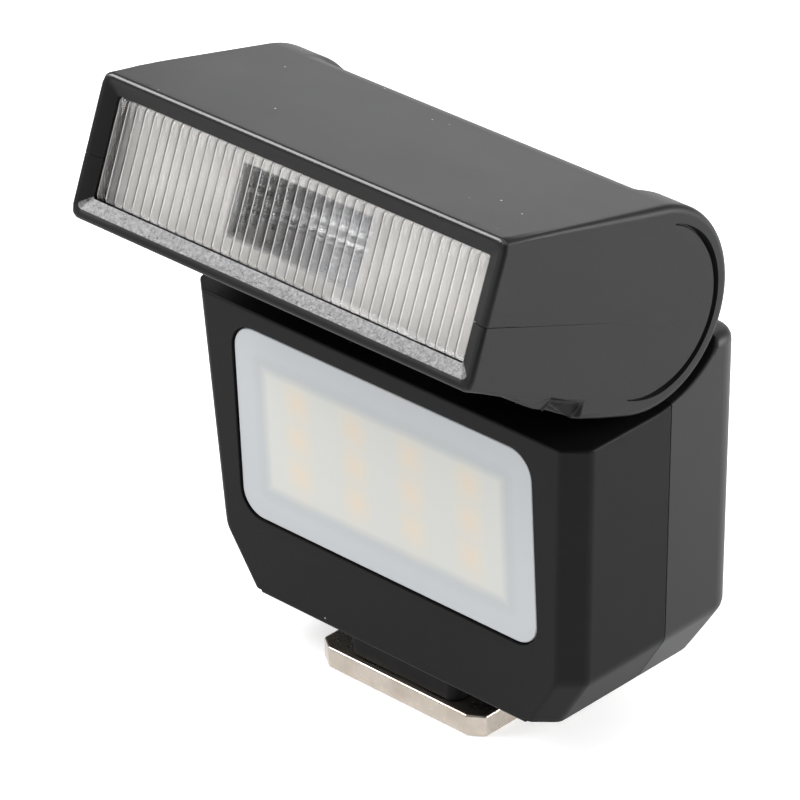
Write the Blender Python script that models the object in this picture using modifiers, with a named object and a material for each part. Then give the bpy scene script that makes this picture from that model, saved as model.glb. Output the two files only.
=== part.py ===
"""Small shoe-mount speedlight with a tilting flash head and a diffused LED panel, as separate pieces.

Metres, +Z up. The origin is the centre of the foot's underside, on the tip of the centre contact.
-Y is the way the LED panel faces, +X is to the right of somebody standing behind the flash.
The head's pieces are modelled level, around the hinge axis, and one empty tilts them to their rest angle.
"""

from math import asin, atan2, cos, pi, radians, sin, sqrt

import bmesh
import bpy
from mathutils import Matrix, Vector

MM = 0.001
GAP = 0.3 * MM  # clearance between pieces that touch on the real thing
FIT = 0.15 * MM  # clearance on each side of a moulded parting line
SMOOTH_ANGLE = radians(35)

# Foot: the standard accessory-shoe foot is 18.6 mm wide and 2.0 mm thick.
FOOT_WIDTH = 18.6 * MM
FOOT_LENGTH = 16.2 * MM
FOOT_THICKNESS = 2.0 * MM
FOOT_NOSE_X = 1.4 * MM
FOOT_NOSE_Y = 0.9 * MM
NECK_WIDTH = 12.3 * MM
NECK_LENGTH = 15.0 * MM
INSULATOR_RADIUS = 4.0 * MM
CONTACT_RADIUS = 1.2 * MM
CONTACT_FLANGE_RADIUS = 1.9 * MM
CONTACT_SHOULDER_Z = 2.3 * MM
CONTACT_SPRING_TOP_Z = 4.0 * MM
FOOT_SCREW_X = 4.4 * MM
FOOT_SCREW_Y = 5.4 * MM

# Body: it tapers downwards and its bottom corners are cut off.
BODY_FRONT_Y = -8.6 * MM
BODY_BACK_Y = 10.3 * MM
BODY_SEAM_Y = 2.0 * MM
BODY_BOTTOM_Z = 4.5 * MM
BODY_CORNER_Z = 9.6 * MM
BODY_DECK_Z = 31.4 * MM
BODY_CREST_Z = 35.3 * MM
BODY_HALF_BOTTOM = 17.6 * MM
BODY_HALF_CORNER = 20.6 * MM
BODY_HALF_DECK = 21.9 * MM
FRONT_CHAMFER_X = 1.9 * MM
FRONT_CHAMFER_Y = 1.6 * MM
REAR_CORNER_RADIUS = 2.4 * MM
WALL = 1.4 * MM

# LED panel
WINDOW_HALF = 16.95 * MM
WINDOW_LOW_Z = 11.55 * MM
WINDOW_HIGH_Z = 29.9 * MM
WINDOW_CORNER = 2.5 * MM
DIFFUSER_RECESS = 0.15 * MM
DIFFUSER_THICKNESS = 1.2 * MM
LED_COLUMNS = 4
LED_ROWS = 3
LED_PITCH_X = 6.4 * MM
LED_PITCH_Z = 3.3 * MM
LED_CENTRE_Z = 21.1 * MM
LED_SIZE = (2.8 * MM, 0.7 * MM, 2.2 * MM)
LED_BOARD_FRONT_Y = -6.0 * MM
BOARD_THICKNESS = 0.8 * MM

# Rear controls
BUTTON_NAMES = ("mode", "minus", "plus", "test")
BUTTON_PITCH = 8.4 * MM
BUTTON_Z = 23.5 * MM
BUTTON_RADIUS = 2.5 * MM
BUTTON_PROUD = 0.5 * MM
MAIN_BOARD_Y = 5.0 * MM
REAR_SCREW_PLACES = ((-17.2, 11.5), (17.2, 11.5), (-18.6, 29.6), (18.6, 29.6))

# Hinge: the head turns about X through this height, over the origin.
HINGE_Z = 40.7 * MM
HEAD_TILT = radians(23.5)
CRADLE_RADIUS = 9.3 * MM
SHAFT_RADIUS = 2.0 * MM
SHAFT_BORE = 2.1 * MM
BRACKET_HALF_X = 4.5 * MM
BRACKET_HALF_Y = 3.0 * MM

# Head, level: forward is -Y, the axis is at the origin of the head's own frame.
HEAD_HALF = 22.1 * MM
HEAD_RADIUS = 8.6 * MM
HEAD_BARREL_RADIUS = 8.05 * MM
EAR_WIDTH = 3.8 * MM
FACE_FORWARD = 19.15 * MM
FACE_TOP = 5.3 * MM
FACE_BOTTOM = -6.7 * MM
BELLY = ((15.1 * MM, -6.9 * MM), (10.0 * MM, -8.0 * MM), (5.9 * MM, -8.6 * MM))
HEAD_SEAM = -1.2 * MM
LENS_MIDDLE = -0.55 * MM
APERTURE_HALF_X = 20.35 * MM
APERTURE_HALF_Z = 4.25 * MM
BEVEL_WIDTH = 1.05 * MM
BEVEL_DEPTH = 0.5 * MM
LENS_RIBS = 40
LENS_THICKNESS = 1.2 * MM
RIB_DEPTH = 0.25 * MM
TROUGH_HALF_X = 7.2 * MM
TROUGH_HALF_Z = 2.9 * MM
TROUGH_DEPTH = 5.0 * MM
TUBE_RADIUS = 1.0 * MM

BLACK_ABS = ("black_abs", (0.022, 0.022, 0.024), 0.45, 0.0)
NICKEL = ("nickel_steel", (0.62, 0.58, 0.50), 0.22, 1.0)
STEEL = ("blackened_steel", (0.10, 0.10, 0.11), 0.35, 1.0)
BRIGHT_STEEL = ("bright_steel", (0.55, 0.55, 0.56), 0.28, 1.0)
GOLD = ("gold_plate", (0.85, 0.62, 0.25), 0.25, 1.0)
FROSTED = ("frosted_acrylic", (0.74, 0.78, 0.82), 0.5, 0.0)
CLEAR = ("clear_polycarbonate", (0.86, 0.88, 0.88), 0.08, 0.0)
MIRROR = ("mirror_aluminium", (0.85, 0.85, 0.86), 0.08, 1.0)
BACKING = ("silver_backing", (0.68, 0.67, 0.64), 0.4, 0.2)
BOARD = ("green_fibreglass", (0.03, 0.16, 0.08), 0.5, 0.0)
PHOSPHOR = ("led_phosphor", (0.85, 0.72, 0.38), 0.5, 0.0)
PACKAGE = ("black_epoxy", (0.03, 0.03, 0.03), 0.6, 0.0)
SLEEVE = ("capacitor_sleeve", (0.05, 0.05, 0.07), 0.4, 0.0)
POUCH = ("battery_pouch", (0.42, 0.44, 0.46), 0.35, 0.7)
RUBBER = ("silicone_rubber", (0.55, 0.56, 0.56), 0.7, 0.0)
QUARTZ = ("quartz_glass", (0.80, 0.83, 0.84), 0.05, 0.0)


def clear_scene():
    """Removes every object of the startup scene."""
    for old in list(bpy.data.objects):
        bpy.data.objects.remove(old, do_unlink=True)


def make_collection(name):
    """Returns a new collection linked to the scene."""
    collection = bpy.data.collections.new(name)
    bpy.context.scene.collection.children.link(collection)
    return collection


def make_material(node_name, finish):
    """Returns a Principled material of one finish, owned by one object."""
    label, colour, roughness, metallic = finish
    material = bpy.data.materials.new(f"{node_name}.{label}")
    material.use_nodes = True
    shader = material.node_tree.nodes["Principled BSDF"]
    shader.inputs["Base Color"].default_value = (*colour, 1.0)
    shader.inputs["Roughness"].default_value = roughness
    shader.inputs["Metallic"].default_value = metallic
    return material


def place(name, bm, finish, location=(0, 0, 0), parent=None):
    """Turns a bmesh into a named object of the flash, with its own material and its origin at location."""
    bmesh.ops.recalc_face_normals(bm, faces=bm.faces)
    mesh = bpy.data.meshes.new(name)
    bm.to_mesh(mesh)
    bm.free()
    mesh.shade_smooth()
    mesh.set_sharp_from_angle(angle=SMOOTH_ANGLE)
    obj = bpy.data.objects.new(name, mesh)
    obj.data.materials.append(make_material(name, finish))
    FLASH.objects.link(obj)
    obj.location = location
    obj.parent = parent
    return obj


def cutter(name, bm, location=(0, 0, 0), parent=None):
    """Turns a bmesh into a cutting tool that no render shows."""
    bmesh.ops.recalc_face_normals(bm, faces=bm.faces)
    mesh = bpy.data.meshes.new(name)
    bm.to_mesh(mesh)
    bm.free()
    obj = bpy.data.objects.new(name, mesh)
    CUTTERS.objects.link(obj)
    obj.location = location
    obj.parent = parent
    obj.hide_render = True
    obj.display_type = "WIRE"
    return obj


def cut(obj, tool, operation="DIFFERENCE"):
    """Adds a Boolean of one tool to an object."""
    boolean = obj.modifiers.new(tool.name, "BOOLEAN")
    boolean.operation = operation
    boolean.object = tool
    boolean.solver = "EXACT"


def box(low, high):
    """Returns a box between two corners."""
    bm = bmesh.new()
    bmesh.ops.create_cube(bm, size=1.0)
    low, high = Vector(low), Vector(high)
    size = high - low
    bmesh.ops.scale(bm, vec=size, verts=bm.verts)
    bmesh.ops.translate(bm, vec=(low + high) / 2, verts=bm.verts)
    return bm


def rounded_box(low, high, radius, segments=2):
    """Returns a box with all its edges rounded."""
    bm = box(low, high)
    bmesh.ops.bevel(bm, geom=bm.edges, offset=radius, segments=segments, affect="EDGES", profile=0.5)
    return bm


def rod(start, end, radius, segments=24, end_radius=None):
    """Returns a closed cylinder or cone between two points."""
    start, end = Vector(start), Vector(end)
    along = end - start
    bm = bmesh.new()
    bmesh.ops.create_cone(
        bm,
        cap_ends=True,
        segments=segments,
        radius1=radius,
        radius2=radius if end_radius is None else end_radius,
        depth=along.length,
        matrix=Matrix.Translation((start + end) / 2) @ along.to_track_quat("Z", "Y").to_matrix().to_4x4(),
    )
    return bm


def prism(outline, axis, low, high):
    """Returns an outline pulled along one axis.

    The outline's pairs are (y, z) along X, (x, z) along Y and (x, y) along Z.
    """
    spot = {
        "X": lambda a, b, depth: (depth, a, b),
        "Y": lambda a, b, depth: (a, depth, b),
        "Z": lambda a, b, depth: (a, b, depth),
    }[axis]
    bm = bmesh.new()
    face = bm.faces.new([bm.verts.new(spot(a, b, low)) for a, b in outline])
    pulled = bmesh.ops.extrude_face_region(bm, geom=[face])
    shift = Vector(spot(0, 0, high - low))
    bmesh.ops.translate(bm, vec=shift, verts=[v for v in pulled["geom"] if isinstance(v, bmesh.types.BMVert)])
    return bm


def loft(sections):
    """Returns a closed skin through outlines of equal length, each a (z, [(x, y), ...]) pair."""
    bm = bmesh.new()
    rings = [[bm.verts.new((x, y, z)) for x, y in outline] for z, outline in sections]
    for lower, upper in zip(rings, rings[1:]):
        for i in range(len(lower)):
            j = (i + 1) % len(lower)
            bm.faces.new((lower[i], lower[j], upper[j], upper[i]))
    bm.faces.new(rings[0])
    bm.faces.new(rings[-1])
    return bm


def arc(centre, radius, start, end, steps):
    """Returns points on an arc, angles in radians."""
    return [
        (centre[0] + radius * cos(start + (end - start) * i / steps),
         centre[1] + radius * sin(start + (end - start) * i / steps))
        for i in range(steps + 1)
    ]


def rounded_outline(half_x, low, high, radius, steps=5):
    """Returns a rectangle with round corners, symmetric in its first coordinate."""
    points = []
    corners = (
        (half_x - radius, high - radius, 0.0),
        (radius - half_x, high - radius, pi / 2),
        (radius - half_x, low + radius, pi),
        (half_x - radius, low + radius, 3 * pi / 2),
    )
    for x, z, start in corners:
        points += arc((x, z), radius, start, start + pi / 2, steps)
    return points


def turned(name, profile, finish, location, direction, parent=None, segments=16):
    """Makes a turned piece from a (radius, height) profile that runs from the top down its outer side."""
    mesh = bpy.data.meshes.new(name)
    mesh.from_pydata([(r, 0, h) for r, h in profile], [(i, i + 1) for i in range(len(profile) - 1)], [])
    obj = bpy.data.objects.new(name, mesh)
    obj.data.materials.append(make_material(name, finish))
    FLASH.objects.link(obj)
    obj.location = location
    obj.rotation_euler = Vector(direction).to_track_quat("Z", "Y").to_euler()
    obj.parent = parent
    screw = obj.modifiers.new("turn", "SCREW")
    screw.angle = 2 * pi
    screw.steps = segments
    screw.render_steps = segments
    screw.use_merge_vertices = True
    screw.merge_threshold = 0.00001
    screw.use_smooth_shade = False
    return obj


def screw_profile(head_radius, head_height, shank_radius, length, sink):
    """Returns a screw's outline: a drive recess, a head that is flat or countersunk by sink, and a shank."""
    recess = 0.45 * head_radius
    depth = 0.55 * head_height
    return [
        (0, -depth),
        (recess, -depth),
        (recess, 0),
        (head_radius, 0),
        (head_radius, sink - head_height),
        (shank_radius, -head_height),
        (shank_radius, 0.4 * MM - length),
        (0.5 * shank_radius, -length),
        (0, -length),
    ]


# ---------------------------------------------------------------- foot


def make_foot():
    """The metal shoe plate, its plastic pedestal, the sprung centre contact and four screws."""
    half_x, half_y = FOOT_WIDTH / 2, FOOT_LENGTH / 2
    outline = [
        (-half_x, half_y),
        (-half_x, FOOT_NOSE_Y - half_y),
        (FOOT_NOSE_X - half_x, -half_y),
        (half_x - FOOT_NOSE_X, -half_y),
        (half_x, FOOT_NOSE_Y - half_y),
        (half_x, half_y),
    ]
    plate = place("foot_plate", prism(outline, "Z", 0, FOOT_THICKNESS), NICKEL)
    through = (-MM, FOOT_THICKNESS + MM)
    cut(plate, cutter("insulator_hole", rod((0, 0, through[0]), (0, 0, through[1]), INSULATOR_RADIUS + GAP, 32)))

    insulator = place(
        "contact_insulator", rod((0, 0, 0.05 * MM), (0, 0, FOOT_THICKNESS), INSULATOR_RADIUS, 32), BLACK_ABS
    )
    cut(insulator, cutter("contact_hole", rod((0, 0, through[0]), (0, 0, through[1]), CONTACT_RADIUS + GAP, 20)))

    low, high = FOOT_THICKNESS + 0.2 * MM, BODY_BOTTOM_Z - 0.2 * MM
    neck = place(
        "foot_neck",
        prism(rounded_outline(NECK_WIDTH / 2, -NECK_LENGTH / 2, NECK_LENGTH / 2, MM, 3), "Z", low, high),
        BLACK_ABS,
    )
    spring_room = rod((0, 0, 0), (0, 0, CONTACT_SPRING_TOP_Z + 0.1 * MM), CONTACT_FLANGE_RADIUS + GAP, 24)
    cut(neck, cutter("spring_room", spring_room))

    profile = screw_profile(1.8 * MM, 1.3 * MM, 0.9 * MM, 6.6 * MM, 1.2 * MM)
    for index, (x, y) in enumerate(
        (sx * FOOT_SCREW_X, sy * FOOT_SCREW_Y) for sx in (-1, 1) for sy in (-1, 1)
    ):
        turned(f"foot_screw_{index + 1}", profile, BRIGHT_STEEL, (x, y, 0.1 * MM), (0, 0, -1), segments=14)
        sink = rod((x, y, -0.4 * MM), (x, y, 1.7 * MM), 2.6 * MM, 20, end_radius=1.1 * MM)
        cut(plate, cutter(f"foot_sink_{index + 1}", sink))
        hole = rod((x, y, -MM), (x, y, 8.5 * MM), 0.9 * MM + GAP, 16)
        tool = cutter(f"foot_screw_hole_{index + 1}", hole)
        cut(plate, tool)
        cut(neck, tool)
        FOOT_SCREW_TOOLS.append((y, tool))


def make_contact():
    """The centre contact and the coil spring that pushes it down."""
    shoulder = CONTACT_SHOULDER_Z
    profile = [
        (0, shoulder + 0.4 * MM),
        (CONTACT_FLANGE_RADIUS, shoulder + 0.4 * MM),
        (CONTACT_FLANGE_RADIUS, shoulder),
        (CONTACT_RADIUS, shoulder),
        (CONTACT_RADIUS, 0.15 * MM),
        (CONTACT_RADIUS - 0.15 * MM, 0),
        (0, 0),
    ]
    turned("centre_contact", profile, GOLD, (0, 0, 0), (0, 0, 1), segments=20)

    curve = bpy.data.curves.new("contact_spring", "CURVE")
    curve.dimensions = "3D"
    curve.bevel_depth = 0.13 * MM
    curve.bevel_resolution = 1
    curve.use_fill_caps = True
    spline = curve.splines.new("POLY")
    turns, steps = 2.5, 12
    low = shoulder + 0.65 * MM
    rise = CONTACT_SPRING_TOP_Z - 0.15 * MM - low
    count = int(turns * steps)
    spline.points.add(count)
    for i, point in enumerate(spline.points):
        angle = 2 * pi * i / steps
        point.co = (1.5 * MM * cos(angle), 1.5 * MM * sin(angle), low + rise * i / count, 1)
    obj = bpy.data.objects.new("contact_spring", curve)
    obj.data.materials.append(make_material("contact_spring", BRIGHT_STEEL))
    FLASH.objects.link(obj)


# ---------------------------------------------------------------- body


def body_half_width(z):
    """Returns the body's outer half width at a height."""
    if z < BODY_CORNER_Z:
        share = (z - BODY_BOTTOM_Z) / (BODY_CORNER_Z - BODY_BOTTOM_Z)
        return BODY_HALF_BOTTOM + (BODY_HALF_CORNER - BODY_HALF_BOTTOM) * share
    share = (z - BODY_CORNER_Z) / (BODY_DECK_Z - BODY_CORNER_Z)
    return BODY_HALF_CORNER + (BODY_HALF_DECK - BODY_HALF_CORNER) * share


def front_outline(half, seam):
    """Returns the front half of the body's plan, its front corners cut off."""
    return [
        (half, seam),
        (-half, seam),
        (-half, BODY_FRONT_Y + FRONT_CHAMFER_Y),
        (FRONT_CHAMFER_X - half, BODY_FRONT_Y),
        (half - FRONT_CHAMFER_X, BODY_FRONT_Y),
        (half, BODY_FRONT_Y + FRONT_CHAMFER_Y),
    ]


def rear_outline(half, seam):
    """Returns the rear half of the body's plan, its corners rounded."""
    radius = REAR_CORNER_RADIUS
    back = BODY_BACK_Y - radius
    right = arc((half - radius, back), radius, 0, pi / 2, 5)
    left = arc((radius - half, back), radius, pi / 2, pi, 5)
    return [(-half, seam), (half, seam)] + right + left


def body_loft(outline, seam):
    """Returns one solid half of the body up to the crest of its rear wall."""
    heights = (BODY_BOTTOM_Z, BODY_CORNER_Z, BODY_CREST_Z)
    return loft([(z, outline(body_half_width(z), seam)) for z in heights])


def body_room():
    """Returns the hollow inside the body, one wall thickness in from its outside."""
    front, back = BODY_FRONT_Y + WALL, BODY_BACK_Y - WALL
    heights = (BODY_BOTTOM_Z + WALL, BODY_CORNER_Z, BODY_CREST_Z + MM)
    halves = [body_half_width(z) - WALL for z in heights]
    halves[0] = body_half_width(BODY_BOTTOM_Z + 0.4 * WALL) - WALL
    chamfer = 1.3 * MM
    return loft([
        (z, [(half, back), (-half, back), (-half, front + chamfer), (chamfer - half, front),
             (half - chamfer, front), (half, front + chamfer)])
        for z, half in zip(heights, halves)
    ])


def cradle_outline(radius, deck):
    """Returns the side view of all that lies above the body: a flat deck, then an arc around the hinge."""
    far = 14 * MM
    exit_y = 7.3 * MM + (radius - CRADLE_RADIUS)
    start = -pi / 2
    end = -pi / 2 + asin(min(exit_y / radius, 0.95))
    return (
        [(far, 60 * MM), (-far, 60 * MM), (-far, deck)]
        + arc((0, HINGE_Z), radius, start, end, 10)
        + [(BODY_BACK_Y + 0.2 * MM, BODY_CREST_Z - 0.2 * MM), (far, BODY_CREST_Z - 0.1 * MM)]
    )


def make_body_shells():
    """The front and rear shells of the body, hollow and open to each other at the parting line."""
    front = place("body_front_shell", body_loft(front_outline, BODY_SEAM_Y - FIT), BLACK_ABS)
    rear = place("body_rear_shell", body_loft(rear_outline, BODY_SEAM_Y + FIT), BLACK_ABS)

    room = cutter("body_room", body_room())
    lid = cutter("room_lid", prism(cradle_outline(CRADLE_RADIUS + WALL, BODY_DECK_Z - WALL), "X", -30 * MM, 30 * MM))
    cut(room, lid)
    over = cutter("cradle", prism(cradle_outline(CRADLE_RADIUS, BODY_DECK_Z), "X", -30 * MM, 30 * MM))
    bracket_slot = cutter(
        "bracket_slot",
        box(
            (-BRACKET_HALF_X - GAP, -BRACKET_HALF_Y - GAP, 26 * MM),
            (BRACKET_HALF_X + GAP, BRACKET_HALF_Y + GAP, 40 * MM),
        ),
    )
    for shell in (front, rear):
        cut(shell, room)
        cut(shell, over)
        cut(shell, bracket_slot)
    for y, tool in FOOT_SCREW_TOOLS:
        cut(front if y < BODY_SEAM_Y else rear, tool)
    return front, rear


def make_led_panel(front):
    """The diffuser window, the LED board behind it and its LEDs."""
    opening = rounded_outline(WINDOW_HALF, WINDOW_LOW_Z, WINDOW_HIGH_Z, WINDOW_CORNER)
    cut(front, cutter("window", prism(opening, "Y", BODY_FRONT_Y - MM, BODY_FRONT_Y + WALL + MM)))
    inset = GAP
    pane = rounded_outline(
        WINDOW_HALF - inset, WINDOW_LOW_Z + inset, WINDOW_HIGH_Z - inset, WINDOW_CORNER - inset
    )
    pane_front = BODY_FRONT_Y + DIFFUSER_RECESS
    place("light_diffuser", prism(pane, "Y", pane_front, pane_front + DIFFUSER_THICKNESS), FROSTED)

    board_half = WINDOW_HALF + 0.6 * MM
    board = rounded_outline(board_half, WINDOW_LOW_Z - 0.5 * MM, WINDOW_HIGH_Z - 0.4 * MM, MM, 2)
    place("led_board", prism(board, "Y", LED_BOARD_FRONT_Y, LED_BOARD_FRONT_Y + BOARD_THICKNESS), BOARD)

    width, depth, height = LED_SIZE
    back = LED_BOARD_FRONT_Y - 0.1 * MM
    for row in range(LED_ROWS):
        for column in range(LED_COLUMNS):
            x = (column - (LED_COLUMNS - 1) / 2) * LED_PITCH_X
            z = LED_CENTRE_Z + (row - (LED_ROWS - 1) / 2) * LED_PITCH_Z
            chip = rounded_box(
                (-width / 2, -depth, -height / 2), (width / 2, 0, height / 2), 0.15 * MM, 1
            )
            place(f"led_{row * LED_COLUMNS + column + 1:02d}", chip, PHOSPHOR, (x, back, z))


def make_electronics(front, rear):
    """The battery, the flash capacitor, the main board and what stands on it."""
    battery = rounded_box((-15 * MM, -4.8 * MM, 7 * MM), (15 * MM, -0.8 * MM, 26.4 * MM), 0.8 * MM)
    place("battery_cell", battery, POUCH)
    place("flash_capacitor", rod((-12 * MM, 3.3 * MM, 10.6 * MM), (12 * MM, 3.3 * MM, 10.6 * MM), 3.6 * MM, 28), SLEEVE)
    board = box((-18 * MM, MAIN_BOARD_Y, 15.2 * MM), (18 * MM, MAIN_BOARD_Y + BOARD_THICKNESS, 29.2 * MM))
    place("main_board", board, BOARD)
    transformer = rounded_box((7 * MM, 1.3 * MM, 15.6 * MM), (14 * MM, 4.7 * MM, 22.6 * MM), 0.4 * MM, 1)
    place("boost_transformer", transformer, PACKAGE)

    centre_y, centre_z = 1.5 * MM, 20.5 * MM
    socket_low = (-20.2 * MM, centre_y - 1.6 * MM, centre_z - 4.5 * MM)
    socket_high = (-13.2 * MM, centre_y + 1.6 * MM, centre_z + 4.5 * MM)
    socket = place("charging_socket", rounded_box(socket_low, socket_high, 0.9 * MM), BRIGHT_STEEL)
    mouth = rounded_box(
        (-25 * MM, centre_y - 1.25 * MM, centre_z - 4.1 * MM),
        (-15 * MM, centre_y + 1.25 * MM, centre_z + 4.1 * MM),
        0.9 * MM,
    )
    cut(socket, cutter("socket_mouth", mouth))
    port = rounded_box(
        (-25 * MM, socket_low[1] - GAP, socket_low[2] - GAP),
        (-13 * MM, socket_high[1] + GAP, socket_high[2] + GAP),
        MM,
    )
    port_tool = cutter("charging_port", port)
    cut(front, port_tool)
    cut(rear, port_tool)


def make_controls(rear):
    """Four push buttons in the back, the switch behind each one, and the status light pipe."""
    inner = BODY_BACK_Y - WALL
    board_back = MAIN_BOARD_Y + BOARD_THICKNESS
    for index, label in enumerate(BUTTON_NAMES):
        x = (index - (len(BUTTON_NAMES) - 1) / 2) * BUTTON_PITCH
        tall = BODY_BACK_Y + BUTTON_PROUD - inner
        profile = [
            (0, tall),
            (BUTTON_RADIUS - 0.3 * MM, tall),
            (BUTTON_RADIUS, tall - 0.3 * MM),
            (BUTTON_RADIUS, -0.3 * MM),
            (BUTTON_RADIUS + 0.6 * MM, -0.3 * MM),
            (BUTTON_RADIUS + 0.6 * MM, -0.8 * MM),
            (0.8 * MM, -0.8 * MM),
            (0.8 * MM, -1.1 * MM),
            (0, -1.1 * MM),
        ]
        turned(f"{label}_button", profile, BLACK_ABS, (x, inner, BUTTON_Z), (0, 1, 0), segments=28)
        hole = rod((x, inner - MM, BUTTON_Z), (x, BODY_BACK_Y + MM, BUTTON_Z), BUTTON_RADIUS + 0.2 * MM, 28)
        cut(rear, cutter(f"{label}_button_hole", hole))
        low = (x - 1.6 * MM, board_back + 0.1 * MM, BUTTON_Z - 1.6 * MM)
        high = (x + 1.6 * MM, board_back + 1.3 * MM, BUTTON_Z + 1.6 * MM)
        place(f"{label}_switch", rounded_box(low, high, 0.2 * MM, 1), PACKAGE)

    pipe_z = BUTTON_Z - 6.2 * MM
    pipe = rod((0, board_back + 0.3 * MM, pipe_z), (0, BODY_BACK_Y, pipe_z), 0.8 * MM, 16)
    place("status_light_pipe", pipe, CLEAR)
    hole = rod((0, inner - MM, pipe_z), (0, BODY_BACK_Y + MM, pipe_z), 0.8 * MM + 0.2 * MM, 16)
    cut(rear, cutter("light_pipe_hole", hole))


def make_body_screws(rear):
    """Four screws that pull the rear shell onto the front one."""
    profile = screw_profile(1.4 * MM, 0.8 * MM, 0.7 * MM, 5.0 * MM, 0.7 * MM)
    for index, (x, z) in enumerate(REAR_SCREW_PLACES):
        x, z = x * MM, z * MM
        turned(
            f"body_screw_{index + 1}", profile, STEEL, (x, BODY_BACK_Y - 0.2 * MM, z), (0, 1, 0), segments=14
        )
        head_room = rod((x, BODY_BACK_Y - 1.0 * MM, z), (x, BODY_BACK_Y + MM, z), 1.4 * MM + 0.2 * MM, 20)
        cut(rear, cutter(f"body_screw_sink_{index + 1}", head_room))
        hole = rod((x, BODY_BACK_Y - 7 * MM, z), (x, BODY_BACK_Y + MM, z), 0.7 * MM + 0.2 * MM, 14)
        cut(rear, cutter(f"body_screw_hole_{index + 1}", hole))


def make_hinge_bracket():
    """The steel bracket that stands in the body and carries the hinge shaft in its eye."""
    half = BRACKET_HALF_Y
    eye = arc((0, HINGE_Z), half, 0, pi, 12)
    foot_low, foot_high = 27.0 * MM, 28.2 * MM
    bracket = place(
        "hinge_bracket",
        prism([(-half, foot_low), (half, foot_low)] + eye, "X", -BRACKET_HALF_X, BRACKET_HALF_X),
        STEEL,
    )
    cut(
        bracket,
        cutter("bracket_foot", box((-10 * MM, -half + 0.05 * MM, foot_low + 0.05 * MM),
                                   (10 * MM, half - 0.05 * MM, foot_high))),
        "UNION",
    )
    bore = rod((-10 * MM, 0, HINGE_Z), (10 * MM, 0, HINGE_Z), SHAFT_BORE, 32)
    cut(bracket, cutter("bracket_bore", bore))


# ---------------------------------------------------------------- head, level in its own frame


def head_profile(radius, inset=0.0):
    """Returns the head's side view: the face, a straight top, the round barrel and the belly."""
    top = FACE_TOP - inset
    towards = atan2(top, FACE_FORWARD)
    opening = asin(radius / sqrt(FACE_FORWARD**2 + top**2))
    start = pi / 2 + (opening - towards)
    low = [(-forward, height + inset) for forward, height in BELLY]
    barrel = arc((0, 0), radius, start, -pi / 2 - radians(4), 18)
    return [(-FACE_FORWARD, FACE_BOTTOM + inset), (-FACE_FORWARD, top)] + barrel + low[::-1]


def head_solid():
    """Returns the head's outer shape before its barrel is lowered between the ears."""
    return prism(head_profile(HEAD_RADIUS), "X", -HEAD_HALF, HEAD_HALF)


def slot_outline():
    """Returns the sweep of the bracket in the head's frame, from level to straight up."""
    clear = asin((BRACKET_HALF_Y + 0.5 * MM) / (HEAD_RADIUS - WALL))
    reach = 13 * MM
    return [(0, 0)] + arc((0, 0), reach, -pi / 2 - clear, clear, 14)


def make_head_shells(pivot):
    """The upper and lower shells of the head, open at the face for the lens."""
    upper = place("head_upper_shell", head_solid(), BLACK_ABS, parent=pivot)
    lower = place("head_lower_shell", head_solid(), BLACK_ABS, parent=pivot)
    far = 40 * MM
    above = box((-far, -far, HEAD_SEAM + FIT), (far, far, far))
    below = box((-far, -far, -far), (far, far, HEAD_SEAM - FIT))
    cut(upper, cutter("above_seam", above, parent=pivot), "INTERSECT")
    cut(lower, cutter("below_seam", below, parent=pivot), "INTERSECT")

    room = cutter(
        "head_room",
        prism(head_profile(HEAD_RADIUS - WALL, WALL), "X", WALL - HEAD_HALF, HEAD_HALF - WALL),
        parent=pivot,
    )
    lens_back = FACE_FORWARD - BEVEL_DEPTH
    cut(room, cutter("room_front", box((-far, -far, -far), (far, -lens_back, far)), parent=pivot))
    waist = cutter("barrel_waist", barrel_waist(), parent=pivot)
    slot_half = BRACKET_HALF_X + 0.4 * MM
    slot = cutter("bracket_sweep", prism(slot_outline(), "X", -slot_half, slot_half), parent=pivot)
    mouth = cutter("face_opening", face_opening(), parent=pivot)
    for shell in (upper, lower):
        cut(shell, room)
        cut(shell, waist)
        cut(shell, slot)
        cut(shell, mouth)
    return upper, lower


def barrel_waist():
    """Returns the ring that lowers the barrel between the ears by half a millimetre at the back."""
    inner, outer = HEAD_BARREL_RADIUS, HEAD_RADIUS + 2 * MM
    start, end = radians(68), radians(-80)
    outline = arc((0, 0), inner, start, end, 16) + arc((0, 0), outer, end, start, 16)
    half = HEAD_HALF - EAR_WIDTH
    return prism(outline, "X", -half, half)


def face_opening():
    """Returns the bevelled opening in the face, wide at the front."""
    def ring(forward, grow):
        half_x, half_z = APERTURE_HALF_X + grow, APERTURE_HALF_Z + grow
        return forward, [
            (half_x, LENS_MIDDLE - half_z), (half_x, LENS_MIDDLE + half_z),
            (-half_x, LENS_MIDDLE + half_z), (-half_x, LENS_MIDDLE - half_z),
        ]

    out = 0.5 * MM
    slope = BEVEL_WIDTH / BEVEL_DEPTH
    rings = [
        ring(FACE_FORWARD + out, BEVEL_WIDTH + slope * out),
        ring(FACE_FORWARD - BEVEL_DEPTH, 0.0),
        ring(FACE_FORWARD - BEVEL_DEPTH - MM, 0.0),
    ]
    bm = loft(rings)
    for vert in bm.verts:
        x, z, forward = vert.co
        vert.co = (x, -forward, z)
    return bm


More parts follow.
